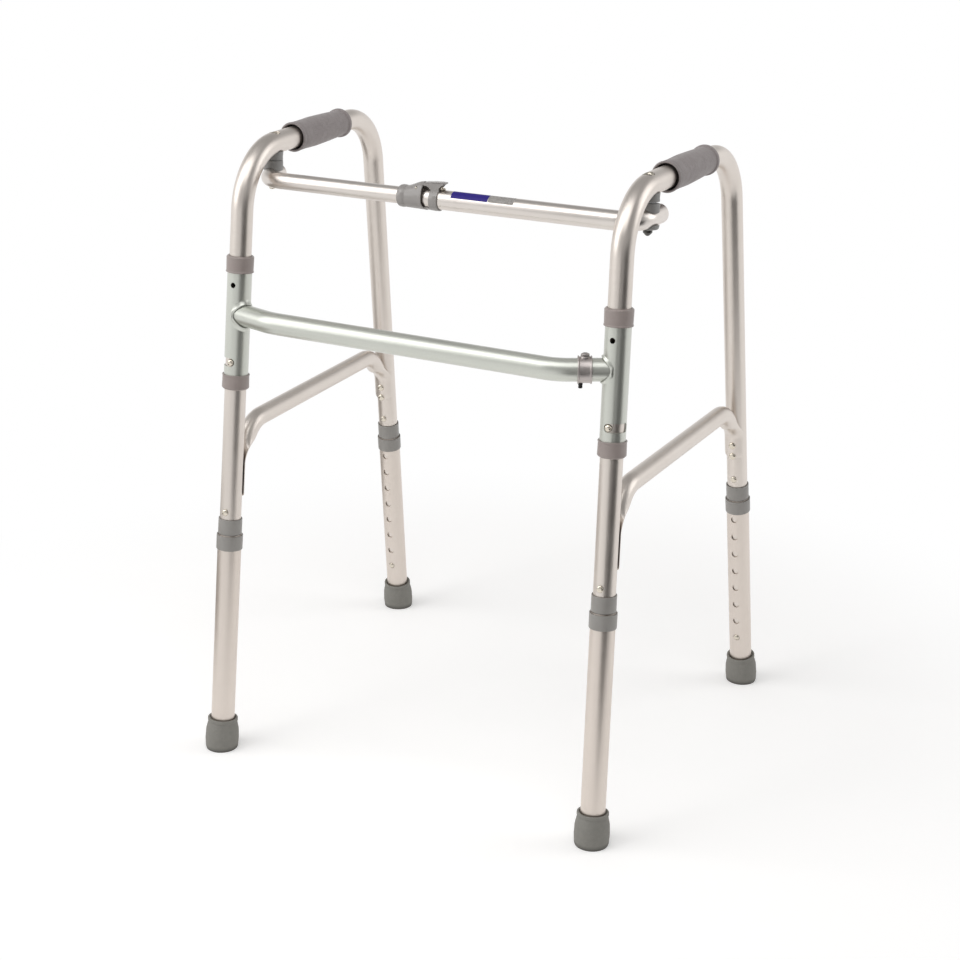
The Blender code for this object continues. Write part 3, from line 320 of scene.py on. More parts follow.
bushNylon = makeMoulded("mouldedBushNylon", {
    "colour": "#958a86", "tones": ("#8b807c", "#9f9490"), "roughness": 0.36},
    ior=1.53, grain=0.0006, bump=0.35)
collarNylon = makeMoulded("mouldedCollarNylon", {
    "colour": "#928f8b", "tones": ("#888581", "#9c9995"), "roughness": 0.36},
    ior=1.53, grain=0.0006, bump=0.35)
lockNylon = makeMoulded("mouldedLockNylon", {
    "colour": "#94908d", "tones": ("#8a8683", "#9e9a97"), "roughness": 0.22},
    ior=1.55, grain=0.0007, bump=0.2)
pivotNylon = makeMoulded("mouldedPivotNylon", {
    "colour": "#848381", "tones": ("#787775", "#908f8d"), "roughness": 0.36},
    ior=1.53, grain=0.0006, bump=0.4)
# black plastic for the clamp's nub and the bar's end plug; the same black is painted shade in
# the grip's mouth and in the bolt head's socket
blackPlasticAndPaintedShade = makeMoulded("blackPolypropylene", {
    "colour": "#1c1b1a", "tones": ("#171615", "#232120"), "roughness": 0.5},
    ior=1.49, grain=0.0005, bump=0.5)


# Dipped vinyl grip: soft, matt, with a pebbled skin and slightly greasy high spots
def makeVinyl(look):
    mat, tree, shader = newFinish("pebbledGripVinyl", look["colour"], look["roughness"],
                                  IOR=1.52, Sheen_Weight=0.15, Sheen_Roughness=0.5)
    place = addNode(tree, "ShaderNodeTexCoord").outputs["Object"]
    cells = addNode(tree, "ShaderNodeTexVoronoi",
                    {"Vector": place, "Scale": 1 / look["pebble"], "Smoothness": 0.7},
                    feature="SMOOTH_F1")
    mottle = addNode(tree, "ShaderNodeTexNoise", {"Vector": place, "Scale": 160.0,
                                                  "Detail": 4.0})
    both = addNode(tree, "ShaderNodeMix", {"Factor": 0.5, 2: cells, 3: mottle})
    dress(tree, shader, look, both, cells, mottle, invert=True)
    return mat


# pebbles are about 1 mm; drawn 1.6 mm so that they show
gripVinyl = makeVinyl({
    "colour": "#8b8382", "tones": ("#968e8d", "#7d7574"), "roughness": 0.62,
    "range": (0.54, 0.72), "relief": (0.55, 0.0002), "pebble": 0.0016})

# Moulded grey rubber tips: matt, dusty in the hollows, darker towards the floor over their
# lowest 7.5 mm
tipRubber = makeFinish("mouldedGreyRubber", {
    "colour": "#84827c", "tones": ("#75736d", "#908e88"), "roughness": 0.68,
    "range": (0.58, 0.8), "sole": "#45433f", "soleHeight": 0.0075,
    "pattern": {"Scale": 220.0, "Detail": 5.0, "Roughness": 0.65},
    "grain": {"Scale": 1300.0, "Detail": 2.0}, "relief": (0.5, 0.00012)}, IOR=1.52)


# Plated or cast metal: small turned or pressed parts, mirror-like or grey, with fine marks
def makePlated(name, colour, tones, roughness):
    return makeFinish(name, {
        "colour": colour, "tones": tones, "roughness": roughness,
        "range": (roughness * 0.75, roughness * 1.3),
        "pattern": {"Scale": 900.0, "Detail": 3.0}, "relief": (0.15, 0.00005)}, Metallic=1.0)


nickelSteel = makePlated("nickelPlatedSteel", "#d8d0c2", ("#cbc2b2", "#e3dccf"), 0.12)
zincSteel = makePlated("blackenedZincSteel", "#5a5957", ("#4b4a48", "#6a6967"), 0.34)
clampZinc = makePlated("castClampZinc", "#bdb6b3", ("#b1aaa7", "#c9c2bf"), 0.38)


# Printed film glued to the bar: a smooth lacquered skin; the grey one's ink is mottled
def makeFilmFinish(name, colour, tones, mottle):
    return makeFinish(name, {
        "colour": colour, "tones": tones, "roughness": 0.5,
        "pattern": {"Scale": 1 / mottle, "Detail": 3.0}, "relief": (0.1, 0.0001)},
        IOR=1.5, Specular_IOR_Level=0.25)


blueFilm = makeFilmFinish("bluePrintedFilm", "#281c7a", ("#231870", "#2e2283"), 0.004)
greyFilm = makeFilmFinish("greyPrintedFilm", "#8c8884", ("#4c4845", "#c2beba"), 0.0014)
print("materials made")

# Where things are: each side frame lies in a plane that leans in and toes out a little.
# In that plane u runs rearward and v upward, in metres.
layout = {
    "sideX": 0.2550, "sideY": -0.0460,
    "toeOut": math.radians(1.54), "splay": math.radians(1.41),
    "foot": {"front": -0.1964, "rear": 0.2888},
    "lean": {"front": math.radians(4.94), "rear": -math.radians(8.855)},
    "handle": 0.7325, "gap": 0.0003, "crossZ": 0.5460,
    "barY": -0.1420, "barUnderHandle": 0.03678,
    "boltU": -0.0690, "boltAtV": 0.7110,
}
sideSign = {"left": -1, "right": 1}
clipSide = {"front": 1, "rear": -1}   # which way a leg's buttons face
legs = ("front", "rear")
frontCos = math.cos(layout["lean"]["front"])
barZ = layout["handle"] * math.cos(layout["splay"]) - layout["barUnderHandle"]
barMiddle = Matrix.Translation((0, layout["barY"], barZ))


def sideAxes(side):
    sign = sideSign[side]
    back = Vector((sign * math.sin(layout["toeOut"]), math.cos(layout["toeOut"]), 0))
    up = Vector((-sign * math.sin(layout["splay"]), 0, math.cos(layout["splay"])))
    return back, (up - back * up.dot(back)).normalized()


def sideNormal(side):
    back, up = sideAxes(side)
    return back.cross(up)


def sidePoint(side, u, v):
    back, up = sideAxes(side)
    return Vector((sideSign[side] * layout["sideX"], layout["sideY"], 0)) + back * u + up * v


def legU(leg, v):
    return layout["foot"][leg] + math.tan(layout["lean"][leg]) * v


def placeAt(point, xAxis, yAxis, zAxis):
    return Matrix.Translation(point) @ Matrix((xAxis, yAxis, zAxis)).transposed().to_4x4()


def axisZ(place):
    return place.col[2].to_3d()


# on a leg's axis: Z up the leg, Y rearward, X towards +X on both sides
def legPlace(side, leg, v):
    back, up = sideAxes(side)
    lean = layout["lean"][leg]
    along = (up * math.cos(lean) + back * math.sin(lean)).normalized()
    rear = (back * math.cos(lean) - up * math.sin(lean)).normalized()
    return placeAt(sidePoint(side, legU(leg, v), v), rear.cross(along), rear, along)


# the same, with Z pointing to the front (-1) or the rear (1) and Y up the leg
def facing(side, leg, v, direction):
    place = legPlace(side, leg, v)
    xAxis, yAxis, zAxis = (place.col[i].to_3d() for i in range(3))
    return placeAt(place.translation, xAxis * -direction, zAxis, yAxis * direction)


# the pivot bolt's axis at the bar's level, parallel to the front leg
def boltPlace(side):
    v = barZ / sideAxes(side)[1].z
    place = legPlace(side, "front", layout["boltAtV"])
    shift = sidePoint(side, layout["boltU"], layout["boltAtV"]) - place.translation
    step = (v - layout["boltAtV"]) / frontCos
    place.translation = place.translation + shift + axisZ(place) * step
    return place


# Mesh tools
def addObject(name, bm, material=None, place=None, sharp=35):
    if place is not None:
        bm.transform(place)
    bmesh.ops.recalc_face_normals(bm, faces=bm.faces)
    mesh = bpy.data.meshes.new(name)
    bm.to_mesh(mesh)
    bm.free()
    mesh.shade_smooth()
    mesh.set_sharp_from_angle(angle=math.radians(sharp))
    if material is not None:
        for finish in material if isinstance(material, tuple) else (material,):
            mesh.materials.append(finish)
    return newObject(name, mesh)


# rounds the corners of a flat outline; each point is (x, y) or (x, y, radius)
def soften(outline, closed=True, steps=5):
    points = []
    count = len(outline)
    for i, corner in enumerate(outline):
        here = Vector(corner[:2])
        radius = corner[2] if len(corner) > 2 else 0
        if radius == 0 or (not closed and i in (0, count - 1)):
            points.append(here)
            continue
        before, after = Vector(outline[i - 1][:2]), Vector(outline[(i + 1) % count][:2])
        come, go = (here - before).normalized(), (after - here).normalized()
        reach = min(radius * math.tan(come.angle(go) / 2), (here - before).length * 0.49,
                    (after - here).length * 0.49)
        start, end = here - come * reach, here + go * reach
        for t in fractions(steps):
            points.append(start * (1 - t) ** 2 + here * 2 * t * (1 - t) + end * t ** 2)
    return [tuple(p) for p in points]


def fractions(steps):
    return [k / steps for k in range(steps + 1)]


# spins a profile of (radius, height) round Z; a profile off the axis closes into a ring
def spun(profile, sides=64):
    bm = bmesh.new()
    verts = [bm.verts.new((r, 0, z)) for r, z in profile]
    edges = [bm.edges.new(pair) for pair in zip(verts, verts[1:])]
    if profile[0][0] > 1e-7 or profile[-1][0] > 1e-7:
        edges.append(bm.edges.new((verts[-1], verts[0])))
    bmesh.ops.spin(bm, geom=verts + edges, cent=(0, 0, 0), axis=(0, 0, 1),
                   angle=math.tau, steps=sides)
    bmesh.ops.remove_doubles(bm, verts=bm.verts, dist=1e-7)
    return bm


# the same with softened corners; an outline that starts on the axis is open
def turned(outline, sides=64, steps=5):
    return spun(soften(outline, outline[0][0] > 0, steps), sides)


# the faces that the test picks by middle height and radius get the second material
def markFaces(bm, test):
    for face in bm.faces:
        middle = face.calc_center_median()
        if test(middle.z, middle.xy.length):
            face.material_index = 1


# one mesh from several, each put in its place
def joined(parts):
    whole = bmesh.new()
    for bm, place in parts:
        bm.transform(place)
        mesh = bpy.data.meshes.new("part")
        bm.to_mesh(mesh)
        bm.free()
        whole.from_mesh(mesh)
        bpy.data.meshes.remove(mesh)
    return whole


# faces between rings of equal length; closed joins the last ring to the first
def skinned(rings, closed=False):
    bm = bmesh.new()
    verts = [[bm.verts.new(p) for p in ring] for ring in rings]
    count = len(verts[0])
    for low, high in zip(verts, verts[1:] + verts[:1] if closed else verts[1:]):
        for i in range(count):
            j = (i + 1) % count
            bm.faces.new((low[i], low[j], high[j], high[i]))
    if not closed:
        bm.faces.new(list(reversed(verts[0])))
        bm.faces.new(verts[-1])
    return bm


# a flat outline in x and z, made thick along y from one value to another
def slab(outline, near, far):
    return skinned([[Vector((x, y, z)) for x, z in outline] for y in (near, far)])


def useTool(obj, tool, operation="DIFFERENCE"):
    mod = obj.modifiers.new(tool.name, "BOOLEAN")
    mod.operation = operation
    mod.solver = "EXACT"
    mod.object = tool
    tool.hide_render = True


# cuts a round hole along Z of a place
def drill(obj, name, place, radius, low, high, sides=32):
    rod = spun([(0, low), (radius, low), (radius, high), (0, high)], sides)
    useTool(obj, addObject(name, rod, None, place))


# turns an object's modifiers into a plain mesh at the origin and drops the tools
def bake(obj, sharp=35, keepTools=False):
    tools = {mod.object for mod in obj.modifiers if mod.type == "BOOLEAN"}
    graph = bpy.context.evaluated_depsgraph_get()
    mesh = bpy.data.meshes.new_from_object(obj.evaluated_get(graph))
    mesh.transform(obj.matrix_world)
    mesh.shade_smooth()
    mesh.set_sharp_from_angle(angle=math.radians(sharp))
    obj.modifiers.clear()
    obj.data = mesh
    obj.data.name = obj.name
    obj.matrix_world = Matrix.Identity(4)
    if not keepTools:
        for tool in tools:
            bpy.data.objects.remove(tool, do_unlink=True)
    return obj


# a finished piece rides on its body; "name_fine" stands for the CAD node "name"
def settle(piece, body, *nodes):
    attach(piece, body)
    if piece.name.endswith("_fine"):
        nodes = [piece.name.removesuffix("_fine")]
    if nodes:
        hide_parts(*nodes)


# a piece that needs no tools, named after its CAD node
def addPiece(node, bm, material, place, body, sharp=35):
    settle(addObject(node + "_fine", bm, material, place, sharp), body)


# Geometry Nodes
def newTree(name, inputs):
    tree = bpy.data.node_groups.new(name, "GeometryNodeTree")
    tree.interface.new_socket("Geometry", in_out="INPUT", socket_type="NodeSocketGeometry")
    for label, kind, *value in inputs + [("Finish", "NodeSocketMaterial")]:
        socket = tree.interface.new_socket(label, in_out="INPUT", socket_type=kind)
        if value:
            socket.default_value = value[0]
    tree.interface.new_socket("Geometry", in_out="OUTPUT", socket_type="NodeSocketGeometry")
    return tree, addNode(tree, "NodeGroupInput").outputs


def endTree(tree, geometry, finish):
    real = addNode(tree, "GeometryNodeRealizeInstances", {"Geometry": geometry})
    done = addNode(tree, "GeometryNodeSetMaterial", {"Geometry": real, "Material": finish})
    addNode(tree, "NodeGroupOutput", {"Geometry": done})
    return tree


def growTree(obj, tree, values):
    mod = obj.modifiers.new(tree.name, "NODES")
    mod.node_group = tree
    sockets = {item.name: item.identifier for item in tree.interface.items_tree
               if item.item_type == "SOCKET" and item.in_out == "INPUT"}
    for label, value in values.items():
        mod[sockets[label]] = value


# A tube swept along a bent line. Each corner's bend radius is its "bend" attribute, and
# "tubePlace" keeps where a point would be on the straight tube, for the material.
def makeTubeTree():
    tree, given = newTree("sweptTube", [
        ("Tube Radius", "NodeSocketFloat", 0.0127), ("Sides", "NodeSocketInt", 64),
        ("Bend Steps", "NodeSocketInt", 18), ("Cuts", "NodeSocketInt", 0),
        ("Closed Ends", "NodeSocketBool", False)])
    bend = addNode(tree, "GeometryNodeInputNamedAttribute", {"Name": "bend"}, data_type="FLOAT")
    line = addNode(tree, "GeometryNodeMeshToCurve", {"Mesh": given["Geometry"]})
    rounded = addNode(tree, "GeometryNodeFilletCurve",
                      {"Curve": line, "Count": given["Bend Steps"],
                       "Radius": bend.outputs["Attribute"]}, mode="POLY")
    fine = addNode(tree, "GeometryNodeSubdivideCurve", {"Curve": rounded,
                                                        "Cuts": given["Cuts"]})
    reach = addNode(tree, "GeometryNodeSplineParameter")
    path = addNode(tree, "GeometryNodeCaptureAttribute",
                   {"Geometry": fine, "Along": reach.outputs["Length"]},
                   items=[("FLOAT", "Along")])
    ring = addNode(tree, "GeometryNodeCurvePrimitiveCircle",
                   {"Resolution": given["Sides"], "Radius": given["Tube Radius"]})
    spot = addNode(tree, "GeometryNodeInputPosition")
    section = addNode(tree, "GeometryNodeCaptureAttribute",
                      {"Geometry": ring, "Around": spot}, items=[("VECTOR", "Around")])
    skin = addNode(tree, "GeometryNodeCurveToMesh",
                   {"Curve": path.outputs["Geometry"],
                    "Profile Curve": section.outputs["Geometry"],
                    "Fill Caps": given["Closed Ends"]})
    lift = addNode(tree, "ShaderNodeCombineXYZ", {"Z": path.outputs["Along"]})
    straight = addNode(tree, "ShaderNodeVectorMath", {0: section.outputs["Around"], 1: lift},
                       operation="ADD")
    kept = addNode(tree, "GeometryNodeStoreNamedAttribute",
                   {"Geometry": skin, "Name": "tubePlace", "Value": straight},
                   data_type="FLOAT_VECTOR", domain="POINT")
    return endTree(tree, kept, given["Finish"])


# A row of round holes along Y, each a short rod along Z, used as a cutting tool
def makeHoleTree():
    tree, given = newTree("holeRow", [
        ("Holes", "NodeSocketInt", 8), ("Pitch", "NodeSocketFloat", 0.0254),
        ("Hole Radius", "NodeSocketFloat", 0.0043), ("Out", "NodeSocketFloat", 0.0143),
        ("Depth", "NodeSocketFloat", 0.006)])
    start = addNode(tree, "ShaderNodeCombineXYZ", {"Z": given["Out"]})
    step = addNode(tree, "ShaderNodeCombineXYZ", {"Y": given["Pitch"]})
    row = addNode(tree, "GeometryNodeMeshLine",
                  {"Count": given["Holes"], "Start Location": start, "Offset": step},
                  mode="OFFSET", count_mode="TOTAL")
    rod = addNode(tree, "GeometryNodeMeshCylinder",
                  {"Vertices": 40, "Radius": given["Hole Radius"], "Depth": given["Depth"]})
    each = addNode(tree, "GeometryNodeInstanceOnPoints", {"Points": row, "Instance": rod})
    return endTree(tree, each, given["Finish"])


# One head on each point of the mesh, its top turned to the point's "out" attribute
def makeHeadTree():
    tree, given = newTree("rivetHeads", [("Head", "NodeSocketObject")])
    out = addNode(tree, "GeometryNodeInputNamedAttribute", {"Name": "out"},
                  data_type="FLOAT_VECTOR")
    turn = addNode(tree, "FunctionNodeAlignRotationToVector", {"Vector": out}, axis="Z")
    head = addNode(tree, "GeometryNodeObjectInfo", {"Object": given["Head"]})
    each = addNode(tree, "GeometryNodeInstanceOnPoints",
                   {"Points": given["Geometry"], "Instance": head.outputs["Geometry"],
                    "Rotation": turn})
    return endTree(tree, each, given["Finish"])


tubeTree = makeTubeTree()
holeTree = makeHoleTree()
headTree = makeHeadTree()


# corners are (point, bend radius); wall 0 leaves a solid bar with closed ends
def sweptTube(name, corners, radius, wall, finish, sides=64, steps=18, cuts=0):
    mesh = bpy.data.meshes.new(name)
    mesh.from_pydata([p for p, _ in corners], [(i, i + 1) for i in range(len(corners) - 1)], [])
    bend = mesh.attributes.new("bend", "FLOAT", "POINT")
    for item, (_, value) in zip(bend.data, corners):
        item.value = value
    obj = newObject(name, mesh)
    growTree(obj, tubeTree, {"Tube Radius": radius, "Sides": sides, "Bend Steps": steps,
                             "Cuts": cuts, "Closed Ends": wall == 0, "Finish": finish})
    if wall:
        thick = obj.modifiers.new("wall", "SOLIDIFY")
        thick.thickness = wall
        thick.offset = -1
    return obj


# rivet heads of one profile, one along Z of each place
def headRow(name, places, profile, finish, sides=40):
    head = addObject(name + "_head", spun(profile, sides))
    head.hide_render = True
    mesh = bpy.data.meshes.new(name)
    mesh.from_pydata([place.translation for place in places], [], [])
    out = mesh.attributes.new("out", "FLOAT_VECTOR", "POINT")
    for item, place in zip(out.data, places):
        item.vector = axisZ(place)
    obj = newObject(name, mesh)
    growTree(obj, headTree, {"Head": head, "Finish": finish})
    bake(obj)
    bpy.data.objects.remove(head, do_unlink=True)
    return obj


# a rivet's round head, from above its rim to its top
def dome(radius, base, height, steps):
    turns = [math.pi / 2 * k / steps for k in range(1, steps)]
    return [(radius * math.cos(a), base + height * math.sin(a)) for a in turns] + [
        (0, base + height)]


print("tools ready")

# Side frame: one inch tube, bent twice, with a grip on the handle and a brace below
frameTube = {"radius": 0.0127, "wall": 0.0012, "bend": 0.072, "lowEnd": 0.060,
             "boltHole": 0.0033, "clipHole": 0.0043, "rivetHole": 0.0025, "lockHole": 0.0036,
             "clipHoleV": 0.0727, "lockHoleV": layout["crossZ"] + 0.0352,
             "sleeveClipV": {"left": layout["crossZ"] - 0.0560,
                             "right": layout["crossZ"] - 0.0592},
             "stopRivetV": {"front": 0.3067, "rear": 0.3058}}
boltHead = {"seat": 0.0066, "sink": {"left": 0.0010, "right": 0.0019},
            "tilt": math.radians(20), "forward": 0.0034}
boltRise = (layout["handle"] - barZ) / frontCos
frameBore = frameTube["radius"] + layout["gap"]   # of what sits on the frame tube


# the bolt's head sits in the bend, Z out of the tube; the right one is tipped
# forward, the left one turns with the bar
def headPlace(side):
    sink, tilt = boltHead["sink"][side], boltHead["tilt"]
    if side == "left":
        rise = boltRise + frameTube["radius"]
        return boltPlace(side) @ Matrix.Translation((0, 0, rise - sink))
    back, up = sideAxes(side)
    out = up * math.cos(tilt) - back * math.sin(tilt)
    along = back * math.cos(tilt) + up * math.sin(tilt)
    skin = layout["handle"] + frameTube["radius"] - sink
    return placeAt(sidePoint(side, layout["boltU"] - boltHead["forward"], skin),
                   along.cross(out), along, out)


def frameCorners(side):
    low, high = frameTube["lowEnd"], layout["handle"]
    spots = [("front", low), ("front", high), ("rear", high), ("rear", low)]
    bends = [0, frameTube["bend"], frameTube["bend"], 0]
    return [(sidePoint(side, legU(leg, v), v), bend) for (leg, v), bend in zip(spots, bends)]


# a hole through one side of a tube that is as thick as the given radius
def drillWall(obj, name, place, radius, tubeRadius):
    drill(obj, name, place, radius, tubeRadius - 0.004, tubeRadius + 0.003)


def makeFrameTube(side):
    size = frameTube
    tube = sweptTube(f"{side}_frame_tube_fine", frameCorners(side), size["radius"],
                     size["wall"], satinAnodised, steps=24)
    holes = []
    for leg in legs:
        holes += [("clipHole", leg, size["clipHoleV"], clipSide[leg]),
                  ("rivetHole", leg, size["stopRivetV"][leg], -1)]
    holes += [("clipHole", "front", size["sleeveClipV"][side], -1),
              ("lockHole", "front", size["lockHoleV"], -1)]
    for name, leg, v, direction in holes:
        drillWall(tube, name, facing(side, leg, v, direction), size[name], size["radius"])
    drill(tube, "boltHole", boltPlace(side), size["boltHole"], boltRise - 0.02, boltRise)
    drill(tube, "headSeat", headPlace(side), boltHead["seat"], -0.006, 0.007, 48)
    settle(bake(tube), f"{side}_frame")


brace = {"v": 0.4060, "radius": 0.0110, "wall": 0.0012, "sides": 48,
         "bends": (0.0406, 0.0422), "ends": {"front": 0.3205, "rear": 0.3330},
         "flat": 0.0028, "wrap": math.radians(62), "morph": 0.030, "tongue": 0.008,
         "tongueWidth": 0.45,     # the strip's width at its very end
         "flatTo": {"front": 0.3640, "rear": 0.3614}, "step": 0.003,
         "rivetV": {"front": (0.3270, 0.3420), "rear": (0.3399, 0.3546)},
         "rivetRadius": 0.0045}


def roundedPath(corners, radii, steps):
    points = [corners[0]]
    for before, corner, after, radius in zip(corners, corners[1:], corners[2:], radii):
        come, go = (corner - before).normalized(), (after - corner).normalized()
        turn = come.angle(go)
        start = corner - come * radius * math.tan(turn / 2)
        axis = come.cross(go).normalized()
        centre = start + axis.cross(come) * radius
        points += [centre + Matrix.Rotation(turn * t, 3, axis) @ (start - centre)
                   for t in fractions(steps)]
    return points + [corners[-1]]


# a ring between a round tube (flat 0) and a strip curved round the leg (flat 1)
def braceRing(point, first, second, radius, wrap, thickness, flat, narrow):
    size = brace
    arc = frameBore + size["flat"] / 2
    pressed = size["radius"] - size["flat"] / 2
    ring = []
    for k in range(size["sides"]):
        a = math.tau * k / size["sides"]
        swing = wrap * narrow * (abs(2 - 4 * k / size["sides"]) - 1)
        lift = math.copysign(abs(math.sin(a)) ** 0.35, math.sin(a))
        reach = arc + thickness / 2 * lift
        across = radius * math.cos(a) * (1 - flat) + reach * math.sin(swing) * flat
        away = (radius * math.sin(a) * (1 - flat)
                + (reach * math.cos(swing) - arc - pressed) * flat)
        ring.append(point + first * across + second * away)
    return ring


# points along the brace's middle line, a few millimetres apart, so that it flattens
# smoothly, and the lengths of both flat ends
def bracePath(side):
    size = brace
    stand = frameBore + size["radius"]

    def besideLeg(leg, v):
        away = clipSide[leg] * stand / math.cos(layout["lean"][leg])
        return sidePoint(side, legU(leg, v) + away, v)

    frontEnd, frontFlat, frontTop = [besideLeg("front", v) for v in (
        size["ends"]["front"], size["flatTo"]["front"], size["v"])]
    rearEnd, rearFlat, rearTop = [besideLeg("rear", v) for v in (
        size["ends"]["rear"], size["flatTo"]["rear"], size["v"])]
    corners = roundedPath([frontFlat, frontTop, rearTop, rearFlat], size["bends"], 14)
    points = [frontEnd]
    for a, b in zip([frontEnd] + corners, corners + [rearEnd]):
        length = (b - a).length
        pieces = max(1, round(length / size["step"])) if length < 0.08 else 30
        points += [a.lerp(b, (k + 1) / pieces) for k in range(pieces) if length > 1e-7]
    return points, ((frontFlat - frontEnd).length, (rearEnd - rearFlat).length)


def makeBrace(side):
    size = brace
    points, keep = bracePath(side)
    normal = sideNormal(side)
    lengths = [0.0]
    for a, b in zip(points, points[1:]):
        lengths.append(lengths[-1] + (b - a).length)
    total = lengths[-1]
    outer, inner = [], []
    for i, (point, s) in enumerate(zip(points, lengths)):
        come = (points[max(i, 1)] - points[max(i, 1) - 1]).normalized()
        go = (points[min(i + 1, len(points) - 1)] - points[min(i, len(points) - 2)]).normalized()
        across = (come + go).normalized().cross(normal).normalized()
        t = min(max(min((s - keep[0]) / size["morph"],
                        (total - s - keep[1]) / size["morph"]), 0.0), 1.0)
        flat = 1 - t * t * (3 - 2 * t)
        # the strip's end is cut round, like a tongue
        end = min(min(s, total - s) / size["tongue"], 1.0)
        narrow = (size["tongueWidth"]
                  + (1 - size["tongueWidth"]) * math.sqrt(1 - (1 - end) ** 2))
        outer.append(braceRing(point, normal, across, size["radius"], size["wrap"],
                               size["flat"], flat, narrow))
        inner.append(braceRing(point, normal, across, size["radius"] - size["wall"],
                               size["wrap"] * 0.9, 0.0003, flat, narrow))
    bm = skinned(outer + inner[::-1], True)
    # where each point would be on the straight tube, for the drawn lines
    layer = bm.verts.layers.float_vector.new("tubePlace")
    sides, count = size["sides"], len(points)
    for i, vert in enumerate(bm.verts):
        row = i // sides if i // sides < count else 2 * count - 1 - i // sides
        a = math.tau * (i % sides) / sides
        vert[layer] = (size["radius"] * math.cos(a), size["radius"] * math.sin(a), lengths[row])
    addPiece(f"{side}_brace", bm, satinAnodised, None, f"{side}_frame", sharp=50)

    top = frameBore + size["flat"]
    r = size["rivetRadius"]
    low = math.sqrt(top ** 2 - r ** 2) - 0.0003
    places = [facing(side, leg, v, clipSide[leg]) for leg in legs for v in size["rivetV"][leg]]
    profile = [(0, low), (r, low), (r, top + 0.0002)] + dome(r, top + 0.0002, 0.0021, 10)
    heads = headRow(f"{side}_brace_rivets", places, profile, nickelSteel)
    settle(heads, f"{side}_frame")


# Vinyl grip: a rolled rim at each end, a waist behind it, and a mouth that stands off the tube
grip = {"frontU": -0.0250, "length": 0.1180, "radius": 0.0177, "mouth": 0.0150,
        "mouthDepth": 0.006, "frontWaist": 0.0166, "rearWaist": 0.0158}


def makeGrip(side):
    size = grip
    back, _ = sideAxes(side)
    normal = sideNormal(side)
    place = placeAt(sidePoint(side, size["frontU"], layout["handle"]), normal,
                    back.cross(normal), back)
    r, length, mouth, depth = size["radius"], size["length"], size["mouth"], size["mouthDepth"]
    frontWaist, rearWaist = size["frontWaist"], size["rearWaist"]
    body = turned([(frameBore, depth), (mouth, depth * 0.8, 0.001),
                   (mouth + 0.0003, 0.0006, 0.0008), (r - 0.0012, -0.0002, 0.0016),
                   (r + 0.0001, 0.0022, 0.0018), (r - 0.0006, 0.0046, 0.0010),
                   (frontWaist, 0.0056, 0.0006), (frontWaist + 0.0006, 0.0100, 0.004),
                   (r - 0.0006, 0.022, 0.03), (r, 0.047, 0.05),
                   (r - 0.0008, 0.080, 0.05), (rearWaist, length - 0.0085, 0.006),
                   (rearWaist + 0.0002, length - 0.0060, 0.0008),
                   (r - 0.0002, length - 0.0050, 0.0015), (r, length - 0.0008, 0.0016),
                   (r - 0.0016, length, 0.0010), (frameBore, length, 0.0003)], 72, 6)
    # the mouth's floor and inner wall take the black: painted shade in the gap round the tube
    markFaces(body, lambda height, reach: reach < mouth + 0.0001 and height < depth + 0.001)
    addPiece(f"{side}_grip", body, (gripVinyl, blackPlasticAndPaintedShade), place, f"{side}_frame", sharp=60)


# Stop collar on the frame tube and the rivet over it
stopCollar = {"height": 0.0190, "radius": 0.01425, "aboveLeg": 0.0012,
              "topOfLeg": {"front": 0.2771, "rear": 0.2743}, "rivetRadius": 0.0040}


def makeStops(side):
    size = stopCollar
    low = layout["gap"] + size["aboveLeg"]
    high = low + size["height"]
    r = size["radius"]
    for leg in legs:
        outline = [(frameBore, low), (r, low, 0.0003), (r, high, 0.0010),
                   (frameBore + 0.0002, high, 0.0005)]
        addPiece(f"{side}_{leg}_stop_collar", turned(outline), collarNylon,
                 legPlace(side, leg, size["topOfLeg"][leg]), f"{side}_frame")
    r = size["rivetRadius"]
    inside = frameTube["radius"] - frameTube["wall"] - 0.0008
    profile = [(0, inside), (0.0022, inside), (0.0022, frameBore), (r, frameBore),
               (r, frameBore + 0.0004)] + dome(r, frameBore + 0.0004, 0.0017, 9)
    places = [facing(side, leg, frameTube["stopRivetV"][leg], -1) for leg in legs]
    heads = headRow(f"{side}_stop_rivets", places, profile, nickelSteel)
    settle(heads, f"{side}_frame", *[f"{side}_{leg}_stop_rivet" for leg in legs])


for side in sideSign:
    makeFrameTube(side)
    makeBrace(side)
    makeGrip(side)
    makeStops(side)
print("side frames made")

# Sliding leg: a tube with a row of holes an inch apart, a collar on top and a rubber tip
legTube = {"radius": 0.0143, "wall": 0.0012, "holes": 8, "pitch": 0.0254, "hole": 0.0043,
           "holeDepth": 0.0068, "lowestHoleV": 0.0727, "aboveCollar": 0.0010,
           "collarHeight": 0.0180, "collarRadius": 0.0158}
tip = {"height": 0.0395, "radius": 0.0206, "rim": 0.0184, "sole": 0.0100}


